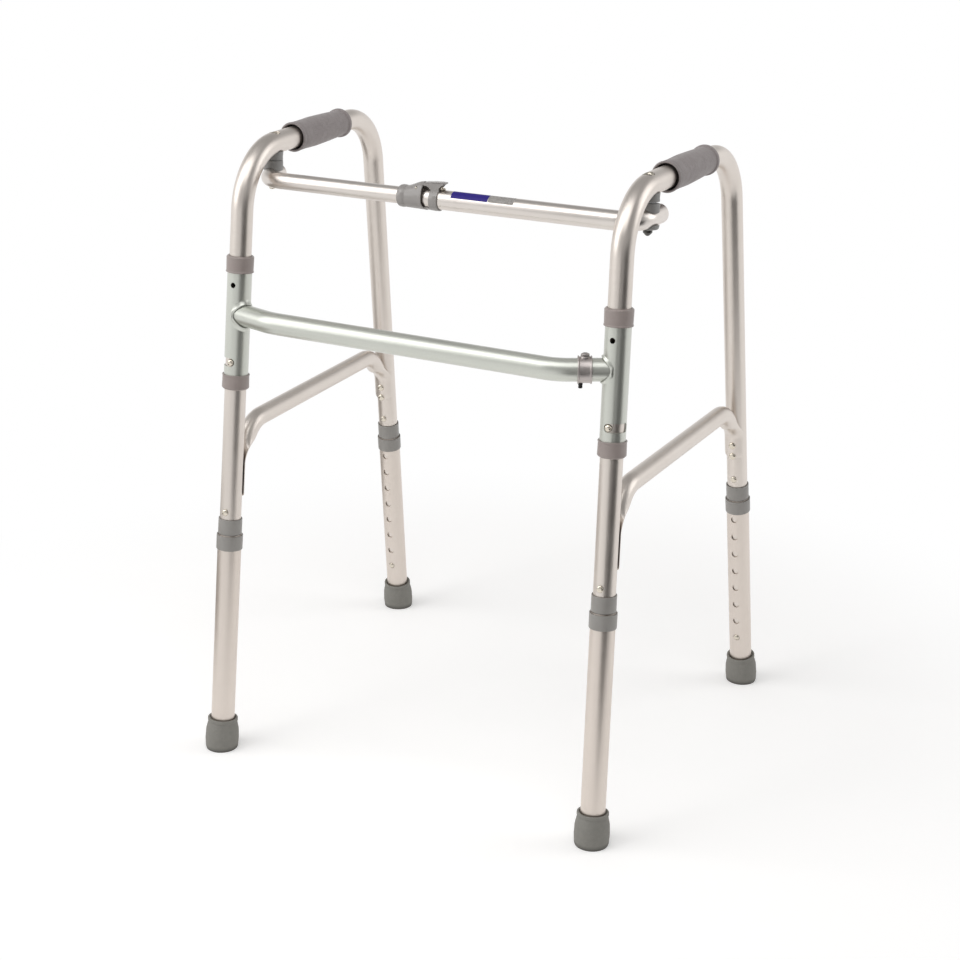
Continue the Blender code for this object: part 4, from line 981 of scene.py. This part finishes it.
def makeLeg(side, leg):
    size = legTube
    place = legPlace(side, leg, 0)
    top = stopCollar["topOfLeg"][leg] / math.cos(layout["lean"][leg])
    ends = [(place.translation + axisZ(place) * h, 0)
            for h in (tip["sole"] + layout["gap"], top + size["aboveCollar"])]
    tube = sweptTube(f"{side}_{leg}_leg_tube_fine", ends, size["radius"], size["wall"],
                     matteAnodised, cuts=44)
    row = newObject("holeRow", bpy.data.meshes.new("holeRow"))
    row.matrix_world = facing(side, leg, size["lowestHoleV"], clipSide[leg])
    growTree(row, holeTree, {"Holes": size["holes"], "Pitch": size["pitch"],
                             "Hole Radius": size["hole"], "Out": size["radius"],
                             "Depth": size["holeDepth"]})
    useTool(tube, row)
    settle(bake(tube), f"{side}_{leg}_leg")

    seat = size["radius"] + layout["gap"]
    r, low = size["collarRadius"], top - size["collarHeight"]
    collar = turned([(seat, low), (r - 0.0001, low, 0.0016), (r, top - 0.0001, 0.0014),
                     (seat + 0.0003, top, 0.0008), (seat, top - 0.0008)])
    addPiece(f"{side}_{leg}_leg_collar", collar, collarNylon, place, f"{side}_{leg}_leg")

    h, r, rim, sole = tip["height"], tip["radius"], tip["rim"], tip["sole"]
    bm = turned([(0, -0.008), (r * 0.80, -0.008), (r * 0.965, 0.0016, 0.005),
                 (r, h * 0.30, 0.02), (r * 0.975, h * 0.62, 0.02),
                 (rim * 0.98, h - 0.0062, 0.004), (rim * 0.965, h - 0.0046, 0.0006),
                 (rim, h - 0.0038, 0.0008), (rim, h, 0.0011),
                 (seat + 0.0012, h, 0.0008), (seat + 0.0010, h - 0.0022, 0.0005),
                 (seat, h - 0.0026), (seat, sole), (0, sole)], 72, 6)
    # the sole is cut flat on the floor
    toLocal = place.inverted()
    bmesh.ops.bisect_plane(
        bm, geom=bm.verts[:] + bm.edges[:] + bm.faces[:], dist=1e-7, clear_inner=True,
        plane_co=toLocal @ Vector((place.translation.x, place.translation.y, 0)),
        plane_no=toLocal.to_3x3() @ Vector((0, 0, 1)))
    bmesh.ops.holes_fill(bm, edges=[e for e in bm.edges if e.is_boundary])
    addPiece(f"{side}_{leg}_tip", bm, tipRubber, place, f"{side}_{leg}_leg")


# Spring clip folded inside a tube, with the domed button that it pushes out
clip = {"leaf": 0.0008, "button": 0.0040, "proud": 0.0018}


def makeClip(name, place):
    leaf, r = clip["leaf"], clip["button"]
    near = frameTube["radius"] - frameTube["wall"] - leaf * 2
    far = near - r * 1.5
    middle = (near + far) / 2
    half, long = r * 0.85, r * 5
    path = [(near, -r * 1.4), (near, long), (middle, long * 1.15), (far, long), (far, 0)]
    inner = [(near - leaf, -r * 1.4), (near - leaf, long - leaf), (middle, long * 1.15 - leaf),
             (far + leaf, long - leaf), (far + leaf, 0)]
    rings = [[Vector((-half, h1, r1)), Vector((half, h1, r1)), Vector((half, h2, r2)),
              Vector((-half, h2, r2))] for (r1, h1), (r2, h2) in zip(path, inner)]
    spring = addObject(name + "_fine", skinned(rings), nickelSteel)
    top = legTube["radius"] + clip["proud"]
    button = addObject(name + "_button", turned([
        (0, near - leaf / 2), (r, near - leaf / 2), (r, top - 0.0024, 0.001),
        (r * 0.9, top - 0.0011, 0.002), (r * 0.45, top - 0.0001, 0.002), (0, top)], 48))
    spring.matrix_world = button.matrix_world = place
    useTool(spring, button, "UNION")
    settle(bake(spring), name)


for side in sideSign:
    for leg in legs:
        makeLeg(side, leg)
        makeClip(f"{side}_{leg}_height_clip",
                 facing(side, leg, legTube["lowestHoleV"], clipSide[leg]))
    makeClip(f"{side}_sleeve_clip", facing(side, "front", frameTube["sleeveClipV"][side], -1))
print("legs made")


# Hinge sleeve: a lacquered tube with a window for the fold button, a small hole, a raised
# socket that takes the crossbar's end with a small vent hole under it, and a nylon bush
# over each end
sleeve = {"radius": 0.0143, "wall": 0.0012, "rise": {"left": 0.0, "right": 0.0018},
          "lowV": layout["crossZ"] - 0.0820, "highV": layout["crossZ"] + 0.0580,
          "holeV": layout["crossZ"] + 0.0352, "hole": 0.0032,
          "vent": 0.0017, "ventV": layout["crossZ"] - 0.0203,
          "ventTurn": {"left": math.radians(-17), "right": math.radians(197)},
          "slotHeight": 0.0100, "swing": math.radians(84)}
bush = {"height": 0.0215, "radius": 0.0160, "cup": 0.0080, "play": 0.0004,
        # how much shorter each is at its lip and at its outer end
        "trim": {"left_lower": (0, 0.0040), "right_lower": (0.0034, 0),
                 "left_upper": (0.0020, 0), "right_upper": (0.0020, 0)}}
socket = {"bore": 0.0134, "rim": 0.0148, "lip": {"left": 0.0030, "right": 0.0022},
          "foot": {"left": 0.0200, "right": 0.0172}}
crossbar = {"radius": 0.0127, "wall": 0.0012, "bend": 0.060,
            "left": Vector((-0.1800, -0.2155, layout["crossZ"] + 0.0012)),
            "right": Vector((0.1800, -0.2215, layout["crossZ"] + 0.0003))}


def sleevePoint(side):
    v = (layout["crossZ"] + sleeve["rise"][side]) / sideAxes(side)[1].z
    return sidePoint(side, legU("front", v), v), v


# the crossbar's centre line: out of the left sleeve, round two corners, into the right one
def crossCorners():
    return [(sleevePoint("left")[0], 0), (crossbar["left"], crossbar["bend"]),
            (crossbar["right"], crossbar["bend"]), (sleevePoint("right")[0], 0)]


# on the front leg's axis, Y up the leg and Z out of the sleeve towards a direction
def outward(side, v, direction):
    place = legPlace(side, "front", v)
    up = axisZ(place)
    out = (direction - up * direction.dot(up)).normalized()
    return placeAt(place.translation, up.cross(out), up, out)


def ventPlace(side):
    turn = sleeve["ventTurn"][side]
    return outward(side, sleeve["ventV"], Vector((math.cos(turn), math.sin(turn), 0)))


# the window's rings, half round at both ends, round the sleeve's own axis
def slotRings(side, near, far):
    size = sleeve
    height = (frameTube["sleeveClipV"][side] - size["lowV"]) / frontCos
    half = size["slotHeight"] / 2
    margin = half / size["radius"]
    rings = []
    for t in fractions(36):
        a = -margin + (size["swing"] + 2 * margin) * t
        arc = min(t, 1 - t) * (size["swing"] + 2 * margin) / margin
        tall = half * math.sqrt(1 - max(1 - arc, 0) ** 2) if arc < 1 else half
        tall = max(tall, half * 0.2)
        out = Vector((sideSign[side] * math.sin(a), -math.cos(a), 0))
        rings.append([out * r + Vector((0, 0, height + z)) for r, z in
                      ((near, -tall), (far, -tall), (far, tall), (near, tall))])
    return rings


def makeSleeve(side):
    size = sleeve
    place = legPlace(side, "front", size["lowV"])
    span = (size["highV"] - size["lowV"]) / frontCos
    low = bush["height"] / 2 - bush["cup"] + layout["gap"]
    ends = [(place.translation + axisZ(place) * h, 0) for h in (low, span - low)]
    tube = sweptTube(f"{side}_sleeve_fine", ends, size["radius"], size["wall"],
                     greyGreenLacquer, cuts=16)
    rings = slotRings(side, size["radius"] - 0.004, size["radius"] + 0.003)
    useTool(tube, addObject("slotTool", skinned(rings), None, place))
    drillWall(tube, "sleeveHole", facing(side, "front", size["holeV"], -1), size["hole"],
              size["radius"])
    drillWall(tube, "ventHole", ventPlace(side), size["vent"], size["radius"])
    settle(bake(tube), "crossbar")

    h, r = bush["height"] / 2, bush["radius"]
    cup, ring = size["radius"] + layout["gap"], frameTube["radius"] + bush["play"]
    for level, v, flip in (("lower", size["lowV"], -1), ("upper", size["highV"], 1)):
        lip, end = bush["trim"][f"{side}_{level}"]
        lip, end = lip - h, h - end
        outline = [(cup, lip, 0.0003), (r + 0.0002, lip, 0.0007),
                   (r + 0.0001, lip + 0.0014, 0.0006), (r - 0.0003, lip + 0.0020, 0.0006),
                   (r, end - 0.0016, 0.0010), (r - 0.0016, end, 0.0008),
                   (ring + 0.0002, end, 0.0004), (ring, -h + bush["cup"]),
                   (cup, -h + bush["cup"])]
        profile = [(radius, z * flip) for radius, z in soften(outline)]
        addPiece(f"{side}_{level}_bush", spun(profile), bushNylon,
                 legPlace(side, "front", v), "crossbar")
    makeSocket(side)


# the socket: a ring round the crossbar's end that spreads to a saddle on the sleeve
def makeSocket(side):
    size = socket
    point, v = sleevePoint(side)
    place = outward(side, v, (crossbar[side] - point).normalized())
    wrap = sleeve["radius"] - 0.0001
    sides, lip, bore, rim = 72, size["lip"][side], size["bore"], size["rim"]

    # a point on the sleeve's skin under this ring, raised by rise
    def onSleeve(radius, a, rise):
        x = min(abs(radius * math.cos(a)), wrap * 0.97)
        return Vector((radius * math.cos(a), radius * math.sin(a),
                       math.sqrt(wrap ** 2 - x * x) + rise))

    turns = [math.tau * k / sides for k in range(sides)]
    rings = []
    for t in fractions(10):
        ring = []
        for a in turns:
            foot = min(size["foot"][side], wrap * 0.97 / max(abs(math.cos(a)), 1e-6))
            ring.append(onSleeve(rim + (foot - rim) * t, a,
                                 lip * (1 - t) ** 1.8 - 0.0002 * t))
        rings.append(ring)
    for radius, rise in ((bore + 0.0001, -0.0002), (bore, lip - 0.0006),
                         (bore + 0.0003, lip - 0.0001), (bore + 0.0006, lip),
                         (rim - 0.0004, lip), (rim - 0.0001, lip - 0.0002)):
        rings.append([onSleeve(radius, a, rise) for a in turns])
    obj = addObject(f"{side}_socket", skinned(rings, True), greyGreenLacquer, place, sharp=50)
    drill(obj, "ventHole", ventPlace(side), sleeve["vent"], 0.009, 0.024)
    settle(bake(obj), "crossbar")


def makeCrossbar():
    size = crossbar
    bar = sweptTube("crossbar_fine", crossCorners(), size["radius"], size["wall"],
                    greyGreenLacquer, steps=20)
    for side in sideSign:
        drill(bar, "copeTool", legPlace(side, "front", sleevePoint(side)[1]),
              sleeve["radius"] + layout["gap"], -0.03, 0.03, 64)
    settle(bake(bar), "crossbar")


for side in sideSign:
    makeSleeve(side)
makeCrossbar()
print("crossbar and sleeves made")


# Band clamp near the crossbar's right end, with its screw on top and a nub below
clamp = {"fromSleeve": 0.0335, "width": 0.0155, "thick": 0.0012, "lip": 0.0010,
         "lipWidth": 0.0014, "bossRise": 0.0014, "nubShift": 0.0040, "screwTurn": 20}


def makeClamp():
    size = clamp
    right = sleevePoint("right")[0]
    along = (right - crossbar["right"]).normalized()
    above = Vector((0, 0, 1))
    across = along.cross(above)
    centre = right - along * size["fromSleeve"]
    bore = crossbar["radius"] + layout["gap"]
    outer = bore + size["thick"]
    rim, half, edge = outer + size["lip"], size["width"] / 2, size["lipWidth"]
    band = addObject("clamp_band_fine", turned([
        (bore, -half, 0.0003), (rim, -half, 0.0008), (rim, edge - half, 0.0008),
        (outer, edge - half + 0.0006, 0.0005), (outer, half - edge - 0.0006, 0.0005),
        (rim, half - edge, 0.0008), (rim, half, 0.0008), (bore, half, 0.0003)], 72), clampZinc)
    band.matrix_world = placeAt(centre, above, across, along)
    upright = placeAt(centre, along, across * -1, above)
    top = outer + size["bossRise"]
    boss = turned([(0, outer - 0.0006), (0.0054, outer - 0.0006), (0.0050, top, 0.0008),
                   (0, top)], 40)
    useTool(band, addObject("bossTool", boss, None, upright), "UNION")
    drill(band, "screwHole", upright, 0.0023, outer + 0.0002, top + 0.002)
    settle(bake(band), "crossbar")
    # a low six-sided head with a cross recess
    screw = addObject("clamp_screw_fine", turned([
        (0, outer + 0.0006), (0.0020, outer + 0.0006), (0.0020, top + 0.0003),
        (0.0047, top + 0.0003, 0.0002), (0.0047, top + 0.0022, 0.0008),
        (0.0036, top + 0.0028, 0.0008), (0, top + 0.0030)], 6), clampZinc, upright, sharp=25)
    for turn in (0, 90):
        blade = slab([(-0.0022, top + 0.0016), (0.0022, top + 0.0016),
                      (0.0024, top + 0.004), (-0.0024, top + 0.004)], -0.0004, 0.0004)
        useTool(screw, addObject("bladeTool", blade, None,
                                 upright @ turnBy(turn + size["screwTurn"], "Z")))
    settle(bake(screw), "crossbar")
    under = placeAt(centre - along * size["nubShift"], along, across, above * -1)
    nub = turned([(0, outer + 0.0001), (0.0024, outer + 0.0001, 0.0003),
                  (0.0024, outer + 0.0030, 0.0006), (0.0019, outer + 0.0034, 0.0003),
                  (0.0023, outer + 0.0040, 0.0003), (0.0023, outer + 0.0060, 0.0008),
                  (0, outer + 0.0066)], 40)
    addPiece("clamp_nub", nub, blackPlasticAndPaintedShade, under, "crossbar")


makeClamp()
print("clamp made")

# Telescoping bar under the handles: a thin tube from the left and a thicker one from the right
bar = {"radius": {"left": 0.0095, "right": 0.0110}, "wall": {"left": 0.0010, "right": 0.0012},
       "bend": 0.027, "stubU": {"left": -0.0540, "right": -0.0400},
       "middleX": {"left": 0.0750, "right": -0.0160}, "lockHoleX": 0.0015,
       "lockHole": 0.0043, "plug": 0.0140}
pivot = {"bolt": 0.0030, "head": 0.0062, "recess": 0.0030, "play": 0.0003,
         "nut": {"left": 0.0038, "right": 0.0052},
         "nutHeight": {"left": 0.0034, "right": 0.0052}, "saddle": 0.0115,
         "lower": {"left": 0.0090, "right": 0.0124},
         "lowerDepth": {"left": 0.0022, "right": 0.0012},
         "gap": {"left": 0.0004, "right": 0.0020}}
barTubes = {"left": "bar_inner", "right": "bar_outer"}
barOuter = bar["radius"]["right"]


def barCorners(side):
    back, _ = sideAxes(side)
    bolt = boltPlace(side).translation
    bolt.z = barZ
    corner = bolt + back * ((layout["barY"] - bolt.y) / back.y)
    boltU = (bolt - Vector((sideSign[side] * layout["sideX"], layout["sideY"], 0))).dot(back)
    stub = bolt + back * (bar["stubU"][side] - boltU)
    return [(Vector((bar["middleX"][side], layout["barY"], barZ)), 0),
            (corner, bar["bend"]), (stub, 0)]


def makeBarTube(side):
    radius, body = bar["radius"][side], barTubes[side]
    tube = sweptTube(f"{body}_tube_fine", barCorners(side), radius, bar["wall"][side],
                     barAnodised, steps=14, cuts=1)
    drill(tube, "boltHole", boltPlace(side), pivot["bolt"] + pivot["play"], -radius * 1.5,
          radius * 1.5)
    drill(tube, "lockHole", barMiddle @ Matrix.Translation((bar["lockHoleX"], 0, 0)),
          bar["lockHole"], radius * 0.5, radius * 1.5)
    settle(bake(tube), body)


# heights on the bolt's axis: both pivot faces, the handle, and the lower block's bottom
def pivotHeights(side):
    rise = (layout["handle"] - barZ / sideAxes(side)[1].z) / frontCos
    middle = (barOuter + rise - frameTube["radius"]) / 2
    half = pivot["gap"][side] / 2
    bottom = -(bar["radius"][side] + pivot["lowerDepth"][side])
    return middle - half, middle + half, rise, bottom


def makeSaddles(side):
    size, place = pivot, boltPlace(side)
    high, low, rise, bottom = pivotHeights(side)
    radius = bar["radius"][side]
    bore, neck = size["bolt"] + size["play"], size["saddle"]
    top = rise - frameTube["radius"] * 0.70
    upper = addObject(f"{side}_saddle_fine", turned([
        (bore, low), (neck, low, 0.0006), (neck - 0.0004, low + 0.0040, 0.004), (neck, top),
        (bore, top)], 72), pivotNylon, place)
    useTool(upper, sweptTube("handleTool", frameCorners(side), frameBore, 0, None, steps=24))
    settle(bake(upper), f"{side}_frame")

    seat = sweptTube("barTool", barCorners(side), radius + layout["gap"], 0, None, steps=14)
    rim, wide, narrow = radius * 0.60, neck + 0.0003, size["lower"][side]
    foot = addObject(f"{side}_foot_saddle_fine", turned([
        (bore, rim), (wide, rim, 0.0016), (wide, high - 0.0032, 0.003), (neck, high, 0.0007),
        (bore, high)], 72), pivotNylon, place)
    lower = addObject(f"{side}_lower_saddle_fine", turned([
        (bore, -rim), (narrow, -rim, 0.0006), (narrow - 0.0006, -radius, 0.004),
        (size["nut"][side] + 0.0014, bottom, 0.0012), (bore, bottom)], 72), pivotNylon, place)
    for block in (foot, lower):
        useTool(block, seat)
        settle(bake(block, keepTools=block is foot), barTubes[side])


# the bolt, whose head is a dished ring round a socket painted black as painted shade, let into
# the bend, and its nut
def makeBolt(side):
    size, place = pivot, boltPlace(side)
    high, low, rise, bottom = pivotHeights(side)
    bolt, r, hole = size["bolt"], size["head"], size["recess"]
    nut, height = size["nut"][side], size["nutHeight"][side]
    nutTop = bottom - layout["gap"]
    nutEnd = nutTop - height
    shank = nutEnd - 0.0010 if side == "left" else low
    under = rise + frameTube["radius"] - 0.0050
    rod = turned([(0, shank), (bolt, shank, 0.0003), (bolt, under), (0, under)], 40)
    head = turned([(0, -0.0048), (r * 0.6, -0.0048), (r, -0.0026, 0.0004),
                   (r, -0.0003, 0.0004), (r * 0.90, 0.0001, 0.0004),
                   (hole + 0.0006, -0.0008, 0.0005), (hole, -0.0014, 0.0002),
                   (hole - 0.0002, -0.0036), (0, -0.0036)], 48)
    # the socket's walls and floor are painted black: painted shade in the recess
    markFaces(head, lambda z, reach: -0.0040 < z < -0.0010 and reach < hole + 0.0001)
    addPiece(f"{side}_bolt", joined([(rod, place), (head, headPlace(side))]),
             (nickelSteel, blackPlasticAndPaintedShade), None,
             "left_swivel" if side == "left" else "right_frame")
    if side == "left":
        bore = bolt + size["play"]
        outline = [(bore, nutEnd), (nut, nutEnd, 0.0012), (nut, nutTop, 0.0003), (bore, nutTop)]
        addPiece("left_nut", turned(outline, 6), nickelSteel, place, "left_swivel", sharp=25)
        return
    # the right nut carries the stud
    stud = turned([(0, high), (bolt, high, 0.0003), (bolt, nutTop), (nut, nutTop, 0.0003),
                   (nut, nutTop - 0.0024, 0.0008), (bolt - 0.0004, nutEnd, 0.0008),
                   (0.0010, nutEnd - 0.0010, 0.0008), (0, nutEnd - 0.0010)], 40)
    addPiece("right_nut", stud, zincSteel, place, "bar_outer")


def makePlug():
    r, length = bar["radius"]["left"] - bar["wall"]["left"] - 0.0004, bar["plug"]
    outline = [(0, 0), (r, 0, 0.0004), (r, length, 0.0010), (0, length)]
    start = Matrix.Translation((bar["middleX"]["left"] - length, 0, 0))
    addPiece("bar_end_plug", turned(outline, 48), blackPlasticAndPaintedShade,
             barMiddle @ start @ turnBy(90, "Y"), "bar_plug")


for side in sideSign:
    makeBarTube(side)
for side in sideSign:
    makeSaddles(side)
    makeBolt(side)
makePlug()
print("bar and pivots made")


# Lock at the middle of the bar: a trumpet with a slanted mouth on the thin tube's way in,
# a ring on the thick tube with a cheek on each side, and the lever over a steel button
lock = {"neckX": (-0.0514, -0.0415), "neckRadius": 0.0123, "mouthX": -0.0200,
        "mouthTop": 0.0187, "mouthWide": 0.0133, "wall": 0.0018,
        "slant": 0.0050, "ringX": (-0.0105, -0.0003), "ringThick": 0.0014,
        "pin": (-0.0270, 0.0124), "pinRadius": 0.0012, "leverHalf": 0.0040,
        "buttonX": 0.0015, "buttonRadius": 0.0040, "ball": (0.0008, -0.0028, 0.0138),
        "ballRadius": 0.0020}
clasp = barOuter + layout["gap"]
pinPlace = Matrix.Translation((lock["pin"][0], layout["barY"],
                               barZ + lock["pin"][1])) @ turnBy(90, "X")


def trumpetRing(x, inset, slanted=0.0, sides=72):
    size = lock
    start, end = size["neckX"][1], size["mouthX"]
    ease = min(max((x - start) / (end - start), 0.0), 1.0) ** 1.25
    neck = size["neckRadius"]
    top = neck + (size["mouthTop"] - neck) * math.sin(ease * math.pi / 2) ** 1.1
    half = neck + (size["mouthWide"] - neck) * ease
    low = neck + 0.0006 * ease
    ring = []
    for k in range(sides):
        a = math.tau * k / sides
        s = math.sin(a)
        y = (half - inset) * math.cos(a)
        z = (top - inset) * s if s > 0 else (low - inset) * s
        # the mouth's edge hangs forward at the bottom and a little at the top
        lean = size["slant"] * (0.8 * max(-s, 0) ** 3 - 0.1 * max(s, 0) ** 3)
        ring.append(Vector((x + lean * slanted, y, z)))
    return ring


def makeLockHousing():
    size = lock
    neckStart, neckEnd = size["neckX"]
    mouth, wall = size["mouthX"], size["wall"]
    guide = size["neckRadius"] - bar["radius"]["left"] - 0.0004
    # a rounded bead, a shallow groove, then the flare
    outer = [trumpetRing(neckStart + x, inset) for x, inset in (
        (0, 0.0016), (0.0005, 0.0007), (0.0013, 0.0001), (0.0030, -0.0003),
        (0.0055, -0.0004), (0.0080, -0.0001), (0.0092, 0.0004), (0.0100, 0.0007),
        (0.0110, 0.0004))]
    steps = 14
    flare = [(neckEnd + (mouth - neckEnd) * k / steps, max(k / steps - 0.5, 0) * 2)
             for k in range(steps + 1)]
    outer += [trumpetRing(x, 0, slant) for x, slant in flare]
    lip = [trumpetRing(mouth, d, 1.0) for d in (0.0003, wall - 0.0003)]
    for point in lip[0] + lip[1]:
        point.x += 0.0003
    inner = [trumpetRing(x, wall, slant) for x, slant in reversed(flare)]
    inner += [trumpetRing(neckEnd - wall, guide), trumpetRing(neckStart, guide)]
    housing = addObject("lock_housing_fine", skinned(outer + lip + inner, True), lockNylon,
                        barMiddle, sharp=40)

    rim = clasp + size["ringThick"]
    start, end = size["ringX"]
    ring = turned([(clasp, start, 0.0002), (rim, start, 0.0006),
                   (rim + 0.0003, (start + end) / 2, 0.004), (rim, end, 0.0006),
                   (clasp, end, 0.0002)], 72)
    # under the tube a strap joins the mouth to the ring
    strap = []
    for k in range(13):
        a = math.radians(228 + 84 * k / 12)
        out = Vector((0, math.cos(a), math.sin(a)))
        near, far = out * (clasp + 0.0001), out * (rim - 0.0002)
        ends = Vector((mouth - 0.0006, 0, 0)), Vector((start + 0.0012, 0, 0))
        strap.append([near + ends[0], far + ends[0], far + ends[1], near + ends[1]])
    # two cheeks rise from the ring and spread under the lever
    cheek = soften([(start + 0.0004, 0.0080), (start + 0.0004, 0.0122, 0.003),
                    (start - 0.0050, 0.0150, 0.002), (start - 0.0100, 0.0156, 0.0004),
                    (start - 0.0100, 0.0174, 0.0004), (-0.0040, 0.0184, 0.004),
                    (end + 0.0052, 0.0192, 0.0006), (end + 0.0054, 0.0176, 0.0006),
                    (end + 0.0026, 0.0160, 0.002), (end - 0.0002, 0.0128, 0.003),
                    (end - 0.0002, 0.0080)])
    tools = [("ringTool", ring, barMiddle @ turnBy(90, "Y")),
             ("strapTool", skinned(strap), barMiddle)]
    tools += [("cheekTool", slab(cheek, near, near + 0.0020), barMiddle)
              for near in (-0.0066, 0.0046)]
    for name, bm, place in tools:
        useTool(housing, addObject(name, bm, None, place), "UNION")
    drill(housing, "pinHole", pinPlace, size["pinRadius"] + 0.0003, -0.02, 0.02)
    settle(bake(housing, 40), "bar_outer")
    r, half = size["pinRadius"], size["mouthWide"] * 0.72
    pin = turned([(0, -half), (r, -half, 0.0004), (r, half, 0.0004), (0, half)], 24)
    addPiece("lever_pin", pin, nickelSteel, pinPlace, "bar_outer")


def makeLockLever():
    size = lock
    outline = soften([(-0.0292, 0.0113, 0.0006), (-0.0284, 0.0102, 0.0006),
                      (-0.0262, 0.0100, 0.0006), (-0.0238, 0.0120, 0.001),
                      (-0.0198, 0.0140, 0.001), (-0.0030, 0.0160, 0.002),
                      (0.0020, 0.0170, 0.001), (0.0056, 0.0178, 0.0004),
                      (0.0059, 0.0195, 0.0005), (0.0020, 0.0200, 0.003),
                      (-0.0060, 0.0196, 0.004), (-0.0190, 0.0184, 0.003),
                      (-0.0240, 0.0158, 0.001), (-0.0280, 0.0139, 0.001),
                      (-0.0293, 0.0130, 0.0006)])
    lever = addObject("lock_lever_fine", slab(outline, -size["leverHalf"], size["leverHalf"]),
                      lockNylon, barMiddle)
    edge = lever.modifiers.new("soft edges", "BEVEL")
    edge.width = 0.0005
    edge.segments = 3
    edge.limit_method = "ANGLE"
    edge.angle_limit = math.radians(50)
    drill(lever, "leverHole", pinPlace, size["pinRadius"] + 0.00015, -0.02, 0.02)
    settle(bake(lever), "lock_lever")


# the steel button: a low foot on the tube and the ball under the lever's tip
def makeLockButton():
    r, ball = lock["buttonRadius"], lock["ballRadius"]
    foot = turned([(0, clasp), (r * 0.9, clasp, 0.0002), (r, clasp + 0.0008, 0.0004),
                   (r * 0.8, clasp + 0.0016, 0.0006), (0, clasp + 0.0018)], 40)
    turns = [math.radians(-90 + 12 * k) for k in range(1, 15)]
    sphere = spun([(0, -ball)] + [(ball * math.cos(a), ball * math.sin(a)) for a in turns]
                  + [(0, ball)], 32)
    addPiece("lock_button", joined([(foot, Matrix.Identity(4)),
                                    (sphere, Matrix.Translation(lock["ball"]))]),
             nickelSteel, barMiddle @ Matrix.Translation((lock["buttonX"], 0, 0)),
             "lock_button")


makeLockHousing()
makeLockLever()
makeLockButton()
print("lock made")


# Printed film on the thick tube's upper side, left plain: a blue band and a grey mottled one
film = {"thick": 0.00012, "lift": 0.00003, "bevel": 0.0001, "from": 88, "to": 150,
        "bands": [("blue_film", 0.0158, 0.0610, blueFilm),
                  ("grey_film", 0.0614, 0.0920, greyFilm)]}


def makeFilm():
    size = film
    near = barOuter + size["lift"]
    far, bevel = near + size["thick"], size["bevel"]
    for name, start, end, finish in size["bands"]:
        rings = []
        for t in fractions(32):
            a = math.radians(size["from"] + (size["to"] - size["from"]) * t)
            out = Vector((0, math.cos(a), math.sin(a)))
            rings.append([out * r + Vector((x, 0, 0)) for r, x in (
                (near, start), (far, start + bevel), (far, end - bevel), (near, end))])
        settle(addObject(name, skinned(rings), finish, barMiddle), "bar_outer")


makeFilm()
print("film made")
